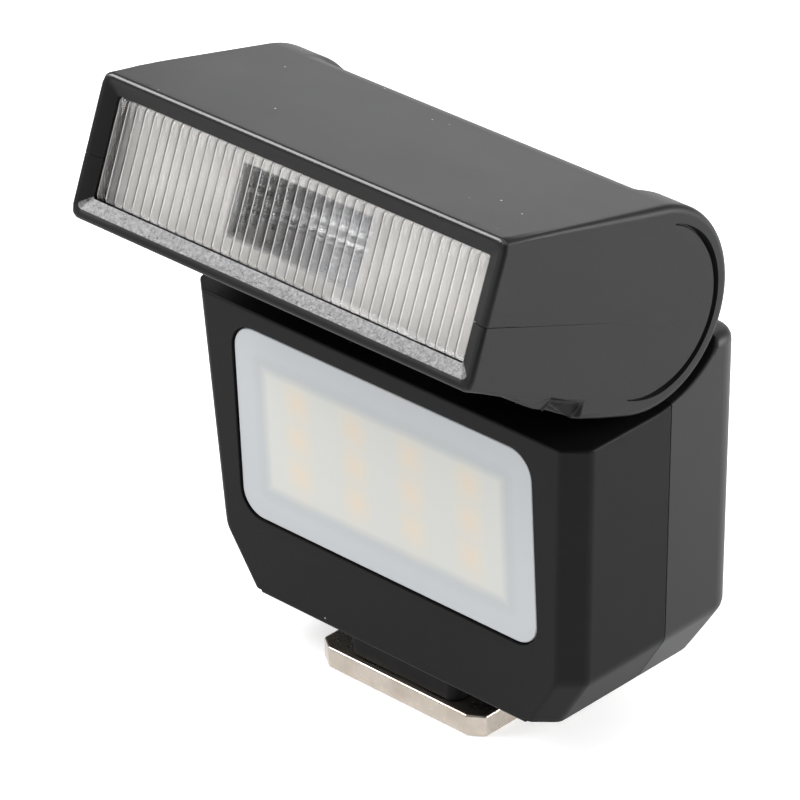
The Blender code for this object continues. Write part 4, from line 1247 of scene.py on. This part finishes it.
        whole.cut(block((-4.8 * MM, -3.3 * MM, 26 * MM), (4.8 * MM, 3.3 * MM, 40 * MM)))
        low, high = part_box("charging_socket")
        gap = 0.25 * MM
        port = rounded([
            (low.y - gap, low.z - gap, 1.2 * MM), (high.y + gap, low.z - gap, 1.2 * MM),
            (high.y + gap, high.z + gap, 1.2 * MM), (low.y - gap, high.z + gap, 1.2 * MM),
        ], 6)
        whole.cut(slab(port, Axis.X, -30 * MM, -13 * MM))
        holes = [(middle(f"{label}_button"), 2.62 * MM) for label in BUTTONS]
        holes += [(middle("status_light_pipe"), 0.88 * MM)]
        for spot, radius in holes:
            whole.cut(rod((spot.x, back_y - 4 * MM, spot.z), (spot.x, back_y + MM, spot.z), radius, 48))
        for index in range(1, 5):
            spot = middle(f"body_screw_{index}")
            whole.cut(rod((spot.x, back_y - MM, spot.z), (spot.x, back_y + MM, spot.z), 1.55 * MM, 36))
            whole.cut(rod((spot.x, back_y - 7 * MM, spot.z), (spot.x, back_y + MM, spot.z), 0.85 * MM, 24))
        for spot in (middle(f"foot_screw_{i}") for i in range(1, 5)):
            whole.cut(rod((spot.x, spot.y, 2 * MM), (spot.x, spot.y, 8.6 * MM), 1.15 * MM, 24))
        whole.ease(0.15 * MM, lambda p: p.y > back_y - 0.01 * MM and 5.5 * MM < p.z < 33 * MM, 2)

        rear = whole.twin("rear_housing")
        half_gap = self.seam_gap / 2
        whole.name = "front_housing"
        near, far = 40 * MM, self.seam_y
        whole.cut(block((-near, -near, -near), (near, far - half_gap, 2 * near)), Operation.KEEP)
        rear.cut(block((-near, far + half_gap, -near), (near, near, 2 * near)), Operation.KEEP)
        for shell, place in ((whole, far - half_gap), (rear, far + half_gap)):
            shell.ease(0.05 * MM, lambda p, place=place: abs(p.y - place) < 0.005 * MM, 2, 50)
        settle(whole.finish([Rack.BODY.material()]), "body", "black_abs", "body_front_shell")
        settle(rear.finish([Rack.REAR.material()]), "body", "black_abs", "body_rear_shell")


@dataclass
class LightPanel:
    """The opal window in the front and the LEDs behind it."""

    corner: float = 2.28 * MM
    edge: float = 0.14 * MM

    def build(self) -> None:
        """Makes and settles the window and the LEDs, and dresses their board."""
        low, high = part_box("light_diffuser")
        outline = boxed((low.x, low.z), (high.x, high.z), self.corner, 8)
        pane = Workpiece("opal_window", slab(outline, Axis.Y, low.y, high.y, self.edge, 0.0))
        settle(pane.finish([Rack.OPAL.material()]), "body", "frosted_window", "light_diffuser")

        names = [f"led_{i:02d}" for i in range(1, 13)]
        first_low, first_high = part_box(names[0])
        size = first_high - first_low
        pattern = LedPattern(size.x, 0.55 * MM, size.z)
        spots = [middle(name) for name in names]
        piece = pattern.grow("led_packages", spots, Rack.PHOSPHOR.material())
        settle(piece, "body", "led_phosphor", *names)


@dataclass
class RearControls:
    """Four buttons with raised marks, the status light, the body's screws and the charging tongue."""

    radius: float = 2.5 * MM
    dish: float = 0.18 * MM

    def cap(self, label: str) -> Workpiece:
        """Returns one dished button cap with its flange, facing +Y."""
        low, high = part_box(f"{label}_button")
        spot = middle(f"{label}_button")
        tall = high.y - low.y
        edge = 0.22 * MM
        profile = [(0.0, tall - self.dish)]
        profile += [(0.8 * self.radius * i / 5, tall - self.dish * (1 - (i / 5) ** 2)) for i in range(1, 6)]
        profile += [(self.radius - edge * (1 - sin(pi / 2 * i / 4)), tall - edge * (1 - cos(pi / 2 * i / 4)))
                    for i in range(5)]
        flange = self.radius + 0.6 * MM
        profile += [(self.radius, 0.8 * MM), (flange, 0.8 * MM), (flange, 0.3 * MM), (0.8 * MM, 0.3 * MM),
                    (0.8 * MM, 0.0), (0.0, 0.0)]
        solid = turned(profile, 48)
        solid.transform(Matrix.Translation((spot.x, low.y, spot.z)) @ Matrix.Rotation(-pi / 2, 4, "X"))
        return Workpiece(f"{label}_cap", solid)

    def marks(self, label: str, spot: Vector, face: float) -> list[bmesh.types.BMesh]:
        """Returns the raised bars of a cap's mark: a minus, a plus, four dots or a triangle."""
        low, high = face - 0.3 * MM, face
        thin, long = 0.17 * MM, 0.85 * MM

        def bar(half_x: float, half_z: float) -> bmesh.types.BMesh:
            """Returns one raised bar."""
            corners = [(spot.x - half_x, spot.z - half_z), (spot.x + half_x, spot.z - half_z),
                       (spot.x + half_x, spot.z + half_z), (spot.x - half_x, spot.z + half_z)]
            return slab(rounded([(x, z, 0.15 * MM) for x, z in corners], 3), Axis.Y, low, high, 0.0,
                        0.05 * MM, 2)

        if label == "minus":
            return [bar(long, thin)]
        if label == "plus":
            return [bar(long, thin), bar(thin, long)]
        if label == "mode":
            dots = [(spot.x + 0.55 * MM * sx, spot.z + 0.55 * MM * sz) for sx in (-1, 1) for sz in (-1, 1)]
            return [rod((x, low, z), (x, high, z), 0.26 * MM, 16, 0.05 * MM) for x, z in dots]
        tip = [(spot.x - 0.6 * MM, spot.z - 0.75 * MM, 0.12 * MM), (spot.x + 0.8 * MM, spot.z, 0.12 * MM),
               (spot.x - 0.6 * MM, spot.z + 0.75 * MM, 0.12 * MM)]
        return [slab(rounded(tip, 3), Axis.Y, low, high, 0.0, 0.05 * MM, 2)]

    def build(self) -> None:
        """Makes and settles the controls."""
        finish = Rack.BUTTON.material()
        for label in BUTTONS:
            cap = self.cap(label)
            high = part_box(f"{label}_button")[1]
            for mark in self.marks(label, middle(f"{label}_button"), high.y):
                cap.cut(mark, Operation.JOIN)
            settle(cap.finish([finish]), f"{label}_button", "black_button", f"{label}_button")

        low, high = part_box("status_light_pipe")
        spot = (low + high) / 2
        pipe = Workpiece("status_light", rod((spot.x, low.y, spot.z), (spot.x, high.y, spot.z), 0.8 * MM,
                                             32, 0.3 * MM))
        settle(pipe.finish([Rack.PIPE.material()]), "body", "clear_pipe", "status_light_pipe")

        names = [f"body_screw_{i}" for i in range(1, 5)]
        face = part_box(names[0])[1].y
        pattern = ScrewPattern("housing_screw", 1.4 * MM, 0.7 * MM, 0.7 * MM, 4.2 * MM, (-pi / 2, 0.0, 0.0))
        spots = [(middle(name).x, face, middle(name).z) for name in names]
        piece = pattern.grow("housing_screws", spots, Rack.BLACKENED.material())
        settle(piece, "body", "dark_screw", *names)

        low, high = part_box("charging_socket")
        mid_y, mid_z = (low.y + high.y) / 2, (low.z + high.z) / 2
        thin, wide = 0.35 * MM, 3.2 * MM
        tongue = Workpiece(
            "charging_tongue",
            slab(boxed((mid_y - thin, mid_z - wide), (mid_y + thin, mid_z + wide), 0.2 * MM, 3), Axis.X,
                 low.x + 0.7 * MM, -15.1 * MM, 0.1 * MM, 0.0),
        )
        settle(tongue.finish([Rack.EPOXY.material()]), "body", "black_epoxy")


# ---------------------------------------------------------------- head, level in its own frame


@dataclass
class HeadHousing:
    """The head's upper and lower shells: a wedge that ends in a round barrel with a lowered middle."""

    half: float = 22.1 * MM
    radius: float = 8.6 * MM
    lowered: float = 0.55 * MM
    waist_start: float = 17.2 * MM
    waist_end: float = 18.3 * MM
    face: float = 19.15 * MM
    face_top: float = 5.3 * MM
    face_bottom: float = -6.7 * MM
    face_round: float = 0.35 * MM
    side_round_face: float = 0.3 * MM
    side_round_barrel: float = 0.7 * MM
    side_round_belly: float = 0.4 * MM
    corner_round: float = 0.85 * MM
    corner_reach: float = 6.0 * MM
    wall: float = 1.4 * MM
    aperture_x: float = 20.35 * MM
    aperture_z: float = 4.25 * MM
    bevel_width: float = 1.05 * MM
    bevel_depth: float = 0.5 * MM
    groove_radius: float = 7.1 * MM
    groove_width: float = 0.56 * MM
    slot_half: float = 4.9 * MM
    seam_front: float = -1.5 * MM
    seam_back: float = -0.95 * MM

    def barrel_start(self) -> float:
        """Returns the angle at which the straight top runs into the barrel."""
        return pi / 2 + asin(self.radius / hypot(self.face, self.face_top)) - atan2(self.face_top, self.face)

    def top(self, y: float) -> float:
        """Returns the height of the straight top at a place along the head."""
        return self.face_top + (y + self.face) * tan(self.barrel_start() - pi / 2)

    def bottom(self, y: float) -> float:
        """Returns the height of the underside just behind the face."""
        return self.face_bottom - 0.062 * (y + self.face)

    def soften(self, point: Vector) -> Vector:
        """Rounds the head's four corners near the face, as seen from the front."""
        behind = point.y + self.face
        share = smooth(behind / self.corner_reach)
        radius = self.corner_round + (self.side_round_face - self.corner_round) * share
        left = min(max(self.face_round - behind, 0.0), self.face_round)
        reach = radius - self.face_round + sqrt(self.face_round**2 - left**2)
        across = abs(point.x) - self.half + radius
        for height, way in ((self.top(point.y), 1), (self.bottom(point.y), -1)):
            rise = way * (point.z - height) + radius
            far = hypot(across, rise)
            if behind < self.corner_reach and across > 0 and rise > 0 and far > reach:
                x = self.half - radius + across * reach / far
                return Vector((copysign(x, point.x), point.y, height + way * (rise * reach / far - radius)))
        return point

    def profile(self) -> Outline:
        """Returns the side view: face, straight top, barrel and belly, as (y, z) pairs."""
        barrel = arc((0, 0), self.radius, self.barrel_start(), -radians(86), 44)
        corners: list[Corner] = [
            (-self.face, self.face_bottom, self.face_round), (-self.face, self.face_bottom + MM, 0.0),
            (-self.face, self.face_top - MM, 0.0), (-self.face, self.face_top, self.face_round),
        ]
        corners += [(y - self.face, self.top(y - self.face), 0.0) for y in (MM, 2 * MM, 3.5 * MM, 6 * MM)]
        corners += [(y, z, 0.0) for y, z in barrel]
        corners += [
            (-2.7 * MM, -8.75 * MM, 0.0), (-5.9 * MM, -8.72 * MM, 2.0 * MM),
            (-8.6 * MM, -8.25 * MM, 1.5 * MM),
            (-10.6 * MM, -8.0 * MM, 1.5 * MM), (-15.1 * MM, self.bottom(-15.1 * MM), 2.5 * MM),
        ]
        corners += [(y - self.face, self.bottom(y - self.face), 0.0) for y in (2 * MM, MM)]
        return rounded(corners, 4)

    def side_round(self, y: float, z: float) -> float:
        """Returns how far a point of the side view is rounded towards the ends of the head."""
        behind = y + self.face - self.face_round
        if z > 0:
            share = smooth(behind / (self.face - 1.5 * MM))
            return self.side_round_face + (self.side_round_barrel - self.side_round_face) * share
        round_gain = self.side_round_belly - self.side_round_face
        near = self.side_round_face + round_gain * smooth(behind / (3 * MM))
        return near + (self.side_round_barrel - near) * smooth((y + 8 * MM) / (7 * MM))

    def ring(self, x: float, lower: float) -> list[Vector]:
        """Returns a section across the head, its barrel lowered by a share of the waist."""
        start = self.barrel_start()
        points = []
        for y, z in self.profile():
            angle, reach = atan2(z, y), hypot(y, z)
            if y > -3 * MM and reach < self.radius + 0.01 * MM:
                share = smooth((start - angle) / radians(26)) * lower
                share *= smooth((angle + radians(92)) / radians(16))
                y, z = y * (1 - share * self.lowered / reach), z * (1 - share * self.lowered / reach)
            points.append(Vector((x, y, z)))
        return points

    def blank(self) -> bmesh.types.BMesh:
        """Returns the whole outer shape, soft at both ends."""
        outline = self.profile()
        rounds = [self.side_round(y, z) for y, z in outline]
        half: list[list[Vector]] = []
        for i in range(6):
            share = i / 5
            half.append(self.ring(self.waist_start + (self.waist_end - self.waist_start) * share,
                                  1 - smooth(share)))
        for inward in (1.0 * MM, 0.85 * MM, 0.7 * MM):
            half.append(self.ring(self.half - inward, 0.0))
        for i in range(8):
            turn = pi / 2 * i / 7
            inner = inset(outline, [r * (1 - cos(turn)) for r in rounds])
            half.append([
                Vector((self.half - r * (1 - sin(turn)), y, z)) for (y, z), r in zip(inner, rounds)
            ])
        half = [[self.soften(point) for point in ring] for ring in half]
        mirrored = [[Vector((-p.x, p.y, p.z)) for p in ring] for ring in reversed(half)]
        return loft(mirrored + half)

    def room(self) -> bmesh.types.BMesh:
        """Returns the hollow inside, up to the back of the lens."""
        outline = [(-self.face + self.bevel_depth, self.face_bottom + self.wall),
                   (-self.face + self.bevel_depth, self.face_top - self.wall)]
        outline += arc((0, 0), self.radius - self.wall, self.barrel_start(), -radians(86), 28)
        outline += [(-5.9 * MM, -7.2 * MM), (-10 * MM, -6.6 * MM), (-15.1 * MM, -5.5 * MM)]
        return slab(outline, Axis.X, self.wall - self.half, self.half - self.wall)

    def mouth(self) -> bmesh.types.BMesh:
        """Returns the bevelled opening in the face, wide at the front."""
        out = 0.5 * MM
        slope = self.bevel_width / self.bevel_depth
        mid = LENS_MIDDLE
        rings = []
        for forward, grow in (
            (self.face + out, self.bevel_width + slope * out), (self.face - self.bevel_depth, 0.0),
            (self.face - self.bevel_depth - MM, 0.0),
        ):
            half_x, half_z = self.aperture_x + grow, self.aperture_z + grow
            corner = 0.18 * MM + 0.25 * grow
            outline = rounded([(-half_x, mid - half_z, corner), (half_x, mid - half_z, corner),
                               (half_x, mid + half_z, corner), (-half_x, mid + half_z, corner)], 4)
            rings.append([Vector((x, -forward, z)) for x, z in outline])
        return loft(rings)

    def groove(self, side: int) -> bmesh.types.BMesh:
        """Returns the tool for the curved groove on one end, thin where it starts on top."""
        rings = []
        steps = 60
        for i in range(steps + 1):
            share = i / steps
            angle = radians(91) + (radians(-93) - radians(91)) * share
            width = self.groove_width / 2 * (0.3 + 0.7 * smooth(share / 0.22)) * (
                0.25 + 0.75 * smooth((1 - share) / 0.2))
            heart = Vector((side * self.half, self.groove_radius * cos(angle),
                            self.groove_radius * sin(angle)))
            radial = Vector((0, cos(angle), sin(angle)))
            rings.append([
                heart + radial * width * cos(2 * pi * k / 10)
                + Vector((2.4 * width * sin(2 * pi * k / 10), 0, 0))
                for k in range(10)
            ])
        return loft(rings)

    def undercut(self, side: int) -> bmesh.types.BMesh:
        """Returns the tool for the slope under one end, which starts from nothing near the face."""
        rings = []
        for y, top, lean in (
            (-17.2, -6.8, 0.0), (-15.4, -6.8, 0.24), (-13.0, -6.85, 0.44), (-9.5, -6.95, 0.52),
            (-5.6, -7.15, 0.52),
        ):
            depth = 10.5 + top
            section = [(self.half, top * MM), (self.half + 2 * MM, top * MM),
                       (self.half + 2 * MM, -10.5 * MM),
                       (self.half - (lean * depth + 0.001) * MM, -10.5 * MM)]
            rings.append([Vector((side * x, y * MM, z)) for x, z in section])
        return loft(rings)

    def pocket(self, side: int) -> bmesh.types.BMesh:
        """Returns the tool for the shallow finger pocket behind the slope."""
        outline = rounded([(-9.4 * MM, -7.25 * MM, 0.4 * MM), (-5.75 * MM, -7.3 * MM, 0.3 * MM),
                           (-5.75 * MM, -10 * MM, 0.0), (-9.9 * MM, -10 * MM, 0.0)], 3)
        ends = sorted((side * (self.half - 0.8 * MM), side * (self.half + 2 * MM)))
        return slab(outline, Axis.X, ends[0], ends[1])

    def beyond(self, way: int) -> bmesh.types.BMesh:
        """Returns what one shell loses: all on the far side of the parting line, whose gap closes behind.

        Args:
            way: 1 for the upper shell, which loses what is below, and -1 for the lower one.

        Returns:
            The tool.
        """
        far = 40 * MM
        line = [
            (-far, self.seam_front + way * 0.02 * MM), (-self.face, self.seam_front + way * 0.02 * MM),
            (-5.7 * MM, self.seam_back + way * 0.01 * MM), (-4.6 * MM, self.seam_back + way * 0.003 * MM),
            (far, self.seam_back + way * 0.003 * MM),
        ]
        return slab(line + [(far, -way * far), (-far, -way * far)], Axis.X, -far, far)

    def slot(self) -> bmesh.types.BMesh:
        """Returns the sweep of the hinge bracket, from level to straight up."""
        clear = asin(3.5 * MM / (self.radius - self.wall))
        outline = [(0.0, 0.0)] + arc((0, 0), 13 * MM, -pi / 2 - clear, clear, 24)
        return slab(outline, Axis.X, -self.slot_half, self.slot_half)

    def build(self) -> None:
        """Makes and settles both shells."""
        whole = Workpiece("whole_head", self.blank())
        for side in (-1, 1):
            whole.cut(self.undercut(side))
            whole.cut(self.pocket(side))
        whole.ease(0.16 * MM, lambda p: abs(p.x) > 20.3 * MM and -17.3 * MM < p.y < -5.4 * MM
                   and p.z < -6.5 * MM, 3, 14)
        for side in (-1, 1):
            whole.cut(self.groove(side))
        whole.cut(self.room())
        whole.cut(self.mouth())
        front = -self.face + 0.005 * MM
        reach_x, reach_z = self.aperture_x + self.bevel_width, self.aperture_z + self.bevel_width
        mid = LENS_MIDDLE
        whole.ease(
            0.07 * MM,
            lambda p: p.y < front and abs(p.x) < reach_x + 0.02 * MM
            and abs(p.z - mid) < reach_z + 0.02 * MM, 2,
        )
        whole.cut(self.slot())
        whole.ease(0.12 * MM, lambda p: abs(p.x) < self.slot_half + 0.01 * MM
                   and hypot(p.y, p.z) > 7.6 * MM, 2)
        for spot in (Vector((-14.5 * MM, -6.0 * MM, 0)), Vector((14.5 * MM, -6.0 * MM, 0))):
            whole.cut(rod((spot.x, spot.y, -12 * MM), (spot.x, spot.y, -7.0 * MM), 1.75 * MM, 40))

        lower = whole.twin("head_lower_housing")
        whole.name = "head_upper_housing"
        whole.cut(self.beyond(1))
        lower.cut(self.beyond(-1))

        def near_seam(p: Vector) -> bool:
            """Tells whether a point lies on the open part of the parting line."""
            return p.y < -5.8 * MM and self.seam_front - 0.08 * MM < p.z < self.seam_back + 0.08 * MM

        finishes = [Rack.HEAD.material(), Rack.BEZEL.material(), Rack.EDGE.material()]

        def pick(p: Vector) -> int:
            """Gives the bezel's lower slope its coarse grain and painted glints, and the face's upper edge
            its gloss and painted highlight.
            """
            # The bezel's lower slope: coarse grain with light speckles that paint glints.
            if (-self.face + 0.03 * MM < p.y < -self.face + self.bevel_depth + 0.02 * MM
                    and abs(p.x) < reach_x + 0.03 * MM and self.aperture_z < mid - p.z < reach_z + 0.03 * MM):
                return 1
            # Only the face's upper edge: a glossier finish, painted lighter as a highlight.
            near_face = p.y < -self.face + 0.6 * self.face_round
            return 2 if near_face and p.z > self.face_top - self.face_round else 0

        for shell, node in ((whole, "head_upper_shell"), (lower, "head_lower_shell")):
            shell.ease(0.04 * MM, near_seam, 2, 50)
            piece = shell.finish(finishes, HEAD_PLACE, pick)
            settle(piece, "head", "black_abs_head", node)


@dataclass
class FlashWindow:
    """What shows in the face: the ribbed lens, the silver card, the trough mirror and the flash tube."""

    half_x: float = 20.28 * MM
    half_z: float = 4.2 * MM
    front: float = 18.45 * MM
    thickness: float = 1.2 * MM
    ribs: int = 40
    trough_x: float = 7.2 * MM
    trough_z: float = 2.9 * MM
    trough_depth: float = 5.0 * MM
    card_front: float = 16.95 * MM
    card_back: float = 16.35 * MM
    tube: float = 1.0 * MM

    def parabola(self, front: float, half: float, depth: float, steps: int = 28) -> Outline:
        """Returns a parabola that opens forward, as (y, z) pairs."""
        mid = LENS_MIDDLE
        shares = [2 * i / steps - 1 for i in range(steps + 1)]
        return [(front + depth * (1 - share**2), mid + share * half) for share in shares]

    def build(self) -> None:
        """Makes and settles the window's pieces."""
        mid = LENS_MIDDLE
        pane = RibbedPanePattern(2 * self.half_x, 2 * self.half_z, self.thickness, self.ribs)
        place = HEAD_PLACE @ Matrix.Translation((0, -self.front + self.thickness / 2, mid))
        lens = pane.grow("ribbed_window", [(0, 0, 0)], Rack.LENS.material(), place)
        settle(lens, "head", "clear_lens", "ribbed_lens")

        card_x, card_z = self.half_x + 0.1 * MM, self.half_z + 0.25 * MM
        outline = boxed((-card_x, mid - card_z), (card_x, mid + card_z), 0.3 * MM, 3)
        card = Workpiece("silver_card", slab(outline, Axis.Y, -self.card_front, -self.card_back, 0.08 * MM))
        hole = boxed((-self.trough_x, mid - self.trough_z), (self.trough_x, mid + self.trough_z), 0.25 * MM,
                     4)
        card.cut(slab(hole, Axis.Y, -20 * MM, -10 * MM))
        card.ease(0.1 * MM, lambda p: p.y < -self.card_front + 0.01 * MM
                  and abs(p.x) < self.trough_x + 0.02 * MM
                  and abs(p.z - mid) < self.trough_z + 0.02 * MM)
        settle(card.finish([Rack.CARD.material()], HEAD_PLACE), "head", "silver_backing", "silver_backing")

        front = -self.card_back + 0.1 * MM
        shell = 0.4 * MM
        mirror = Workpiece(
            "trough_mirror",
            slab(self.parabola(front, self.trough_z + shell, self.trough_depth + shell), Axis.X,
                 -self.trough_x - shell, self.trough_x + shell),
        )
        bowl = self.parabola(front - 0.01 * MM, self.trough_z, self.trough_depth)
        bowl = [(bowl[0][0] - MM, bowl[0][1])] + bowl + [(bowl[-1][0] - MM, bowl[-1][1])]
        mirror.cut(slab(bowl, Axis.X, -self.trough_x, self.trough_x))
        tube_y = front + 0.68 * self.trough_depth
        far = self.trough_x + 3.6 * MM
        mirror.cut(rod((-far, tube_y, mid), (far, tube_y, mid), self.tube + 0.15 * MM, 36))
        ends = self.trough_x - 0.05 * MM
        finishes = [Rack.MIRROR.material(), Rack.TROUGH_END.material()]
        # The trough's ends take a darker finish of the same sheet: painted shade.
        piece = mirror.finish(finishes, HEAD_PLACE, lambda p: abs(p.x) > ends)
        settle(piece, "head", "mirror_reflector", "reflector")

        envelope = Workpiece("tube_envelope", rod((-far, tube_y, mid), (far, tube_y, mid), self.tube, 40,
                                                  0.3 * MM))
        envelope.cut(rod((-far + MM, tube_y, mid), (far - MM, tube_y, mid), 0.68 * self.tube, 32, 0.2 * MM))
        pieces = [envelope.finish([Rack.QUARTZ.material()], HEAD_PLACE)]
        for side in (-1, 1):
            inner, outer = side * (self.trough_x - 1.2 * MM), side * (far - 1.05 * MM)
            bar = Workpiece("electrode", rod((inner, tube_y, mid), (outer, tube_y, mid), 0.4 * self.tube,
                                             24, 0.1 * MM))
            pieces.append(bar.finish([Rack.TUNGSTEN.material()], HEAD_PLACE))
        settle(joined("flash_tube", pieces), "head", "quartz_tube", "xenon_tube")


@dataclass
class HeadFittings:
    """The screws under the head."""

    head: float = 1.5 * MM

    def build(self) -> None:
        """Makes and settles the screws."""
        pattern = ScrewPattern("head_screw", self.head, 0.8 * MM, 0.8 * MM, 6.8 * MM, (pi, 0.0, 0.0))
        spots = [(-14.5 * MM, -6.0 * MM, -8.0 * MM), (14.5 * MM, -6.0 * MM, -8.0 * MM)]
        piece = pattern.grow("head_screws", spots, Rack.BLACKENED.material(), HEAD_PLACE)
        settle(piece, "head", "dark_screw", "left_head_screw", "right_head_screw")


@dataclass(frozen=True)
class InnerWorks:
    """Finishes for the CAD nodes whose shape stays, and a copy of the contact's spring."""

    def build(self) -> None:
        """Gives each kept CAD node its finish."""
        finishes: dict[str, Finish] = {
            "led_board": Rack.WHITE_BOARD, "main_board": Rack.BOARD, "trigger_board": Rack.BOARD,
            "battery_cell": Rack.POUCH, "flash_capacitor": Rack.SLEEVE, "boost_transformer": Rack.EPOXY,
            "charging_socket": Rack.ZINC, "hinge_bracket": Rack.ROLLED,
            "hinge_shaft": Rack.ZINC, "left_shaft_block": Rack.BODY, "right_shaft_block": Rack.BODY,
            "left_friction_washer": Rack.BRONZE, "right_friction_washer": Rack.BRONZE,
            "left_tube_seal": Rack.SILICONE, "right_tube_seal": Rack.SILICONE,
        }
        finishes |= {f"{label}_switch": Rack.EPOXY for label in BUTTONS}
        for node, finish in finishes.items():
            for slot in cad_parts[node].material_slots:
                slot.material = finish.material()
            LOG.info("%s: dressed in %s", node, finish.name)
        self._coil()

    def _coil(self) -> None:
        """Makes the contact's spring as a copy of its CAD mesh."""
        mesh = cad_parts["contact_spring"].data.copy()
        coil = finished("contact_coil", mesh, [Rack.ZINC.material()])
        settle(coil, "body", "bright_steel", "contact_spring")
        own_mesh(coil)


# ---------------------------------------------------------------- studio


@dataclass(frozen=True)
class Softbox:
    """One plain soft light."""

    name: str
    place: tuple[float, float, float]
    target: tuple[float, float, float]
    width: float
    height: float
    power: float

    def hang(self) -> None:
        """Hangs the light and aims it."""
        data = bpy.data.lights.new(self.name, "AREA")
        data.shape = "RECTANGLE"
        data.size, data.size_y, data.energy = self.width, self.height, self.power
        lamp = bpy.data.objects.new(self.name, data)
        lamp.location = self.place
        way = Vector(self.target) - Vector(self.place)
        lamp.rotation_euler = way.to_track_quat("-Z", "Y").to_euler()
        bpy.context.scene.collection.objects.link(lamp)


@dataclass(frozen=True)
class Studio:
    """A plain pale floor, soft light from above and behind, and the camera."""

    camera_place: tuple[float, float, float] = (298.26 * MM, -292.61 * MM, 262.66 * MM)
    camera_target: tuple[float, float, float] = (-9.37 * MM, 3.4 * MM, 18.68 * MM)
    roll: float = radians(-2.71)
    lens: float = 269.64
    shift: tuple[float, float] = (-0.0066, 0.0149)
    floor_colour: str = "#f4f4f4"
    floor_glow: float = 0.48
    world_strength: float = 0.32

    def build(self) -> None:
        """Sets up the floor, the lights, the world and the camera."""
        scene = bpy.context.scene
        scene.view_settings.view_transform = "Standard"
        world = bpy.data.worlds.new("studio")
        scene.world = world
        world.use_nodes = True
        background = world.node_tree.nodes["Background"]
        background.inputs["Color"].default_value = linear("#ffffff")
        background.inputs["Strength"].default_value = self.world_strength

        outline = rounded([(-1.5, -1.5, 0.1), (1.5, -1.5, 0.1), (1.5, 1.5, 0.1), (-1.5, 1.5, 0.1)], 4)
        floor = Workpiece("floor", slab(outline, Axis.Z, -20 * MM, 0.0))
        board = Finish("matt_white_board", self.floor_colour, 0.9, specular=0.2).material()
        shader = board.node_tree.nodes["Principled BSDF"]
        shader.inputs["Emission Color"].default_value = linear("#ffffff")
        shader.inputs["Emission Strength"].default_value = self.floor_glow
        floor.finish([board])

        for light in (
            Softbox("key", (-0.45, -0.3, 0.5), (0, 0, 0.03), 0.45, 0.45, 4.3),
            Softbox("overhead", (0.1, 0.2, 0.7), (0, 0, 0.03), 0.6, 0.6, 1.2),
            Softbox("behind", (-0.09, 0.15, 0.09), (0.01, 0, 0.045), 0.14, 0.09, 0.085),
            Softbox("side", (0.35, 0.3, 0.15), (0, 0, 0.03), 0.25, 0.25, 2.8),
        ):
            light.hang()

        data = bpy.data.cameras.new("camera")
        data.lens, data.sensor_width = self.lens, 36.0
        data.shift_x, data.shift_y = self.shift
        camera = bpy.data.objects.new("camera", data)
        forward = (Vector(self.camera_target) - Vector(self.camera_place)).normalized()
        right = forward.cross(Vector((0, 0, 1))).normalized()
        up = right.cross(forward)
        right, up = cos(self.roll) * right + sin(self.roll) * up, cos(self.roll) * up - sin(self.roll) * right
        turn = Matrix((right, up, -forward)).transposed().to_4x4()
        camera.matrix_world = Matrix.Translation(self.camera_place) @ turn
        scene.collection.objects.link(camera)
        scene.camera = camera


def main() -> None:
    """Builds the flash piece by piece, then the studio."""
    logging.basicConfig(level=logging.INFO, format="%(message)s")
    for assembly in (
        ShoeFoot(), BodyHousing(), LightPanel(), RearControls(), HeadHousing(), FlashWindow(), HeadFittings(),
        InnerWorks(), Studio(),
    ):
        LOG.info("-- %s", type(assembly).__name__)
        assembly.build()


if __name__ == "__main__":
    main()
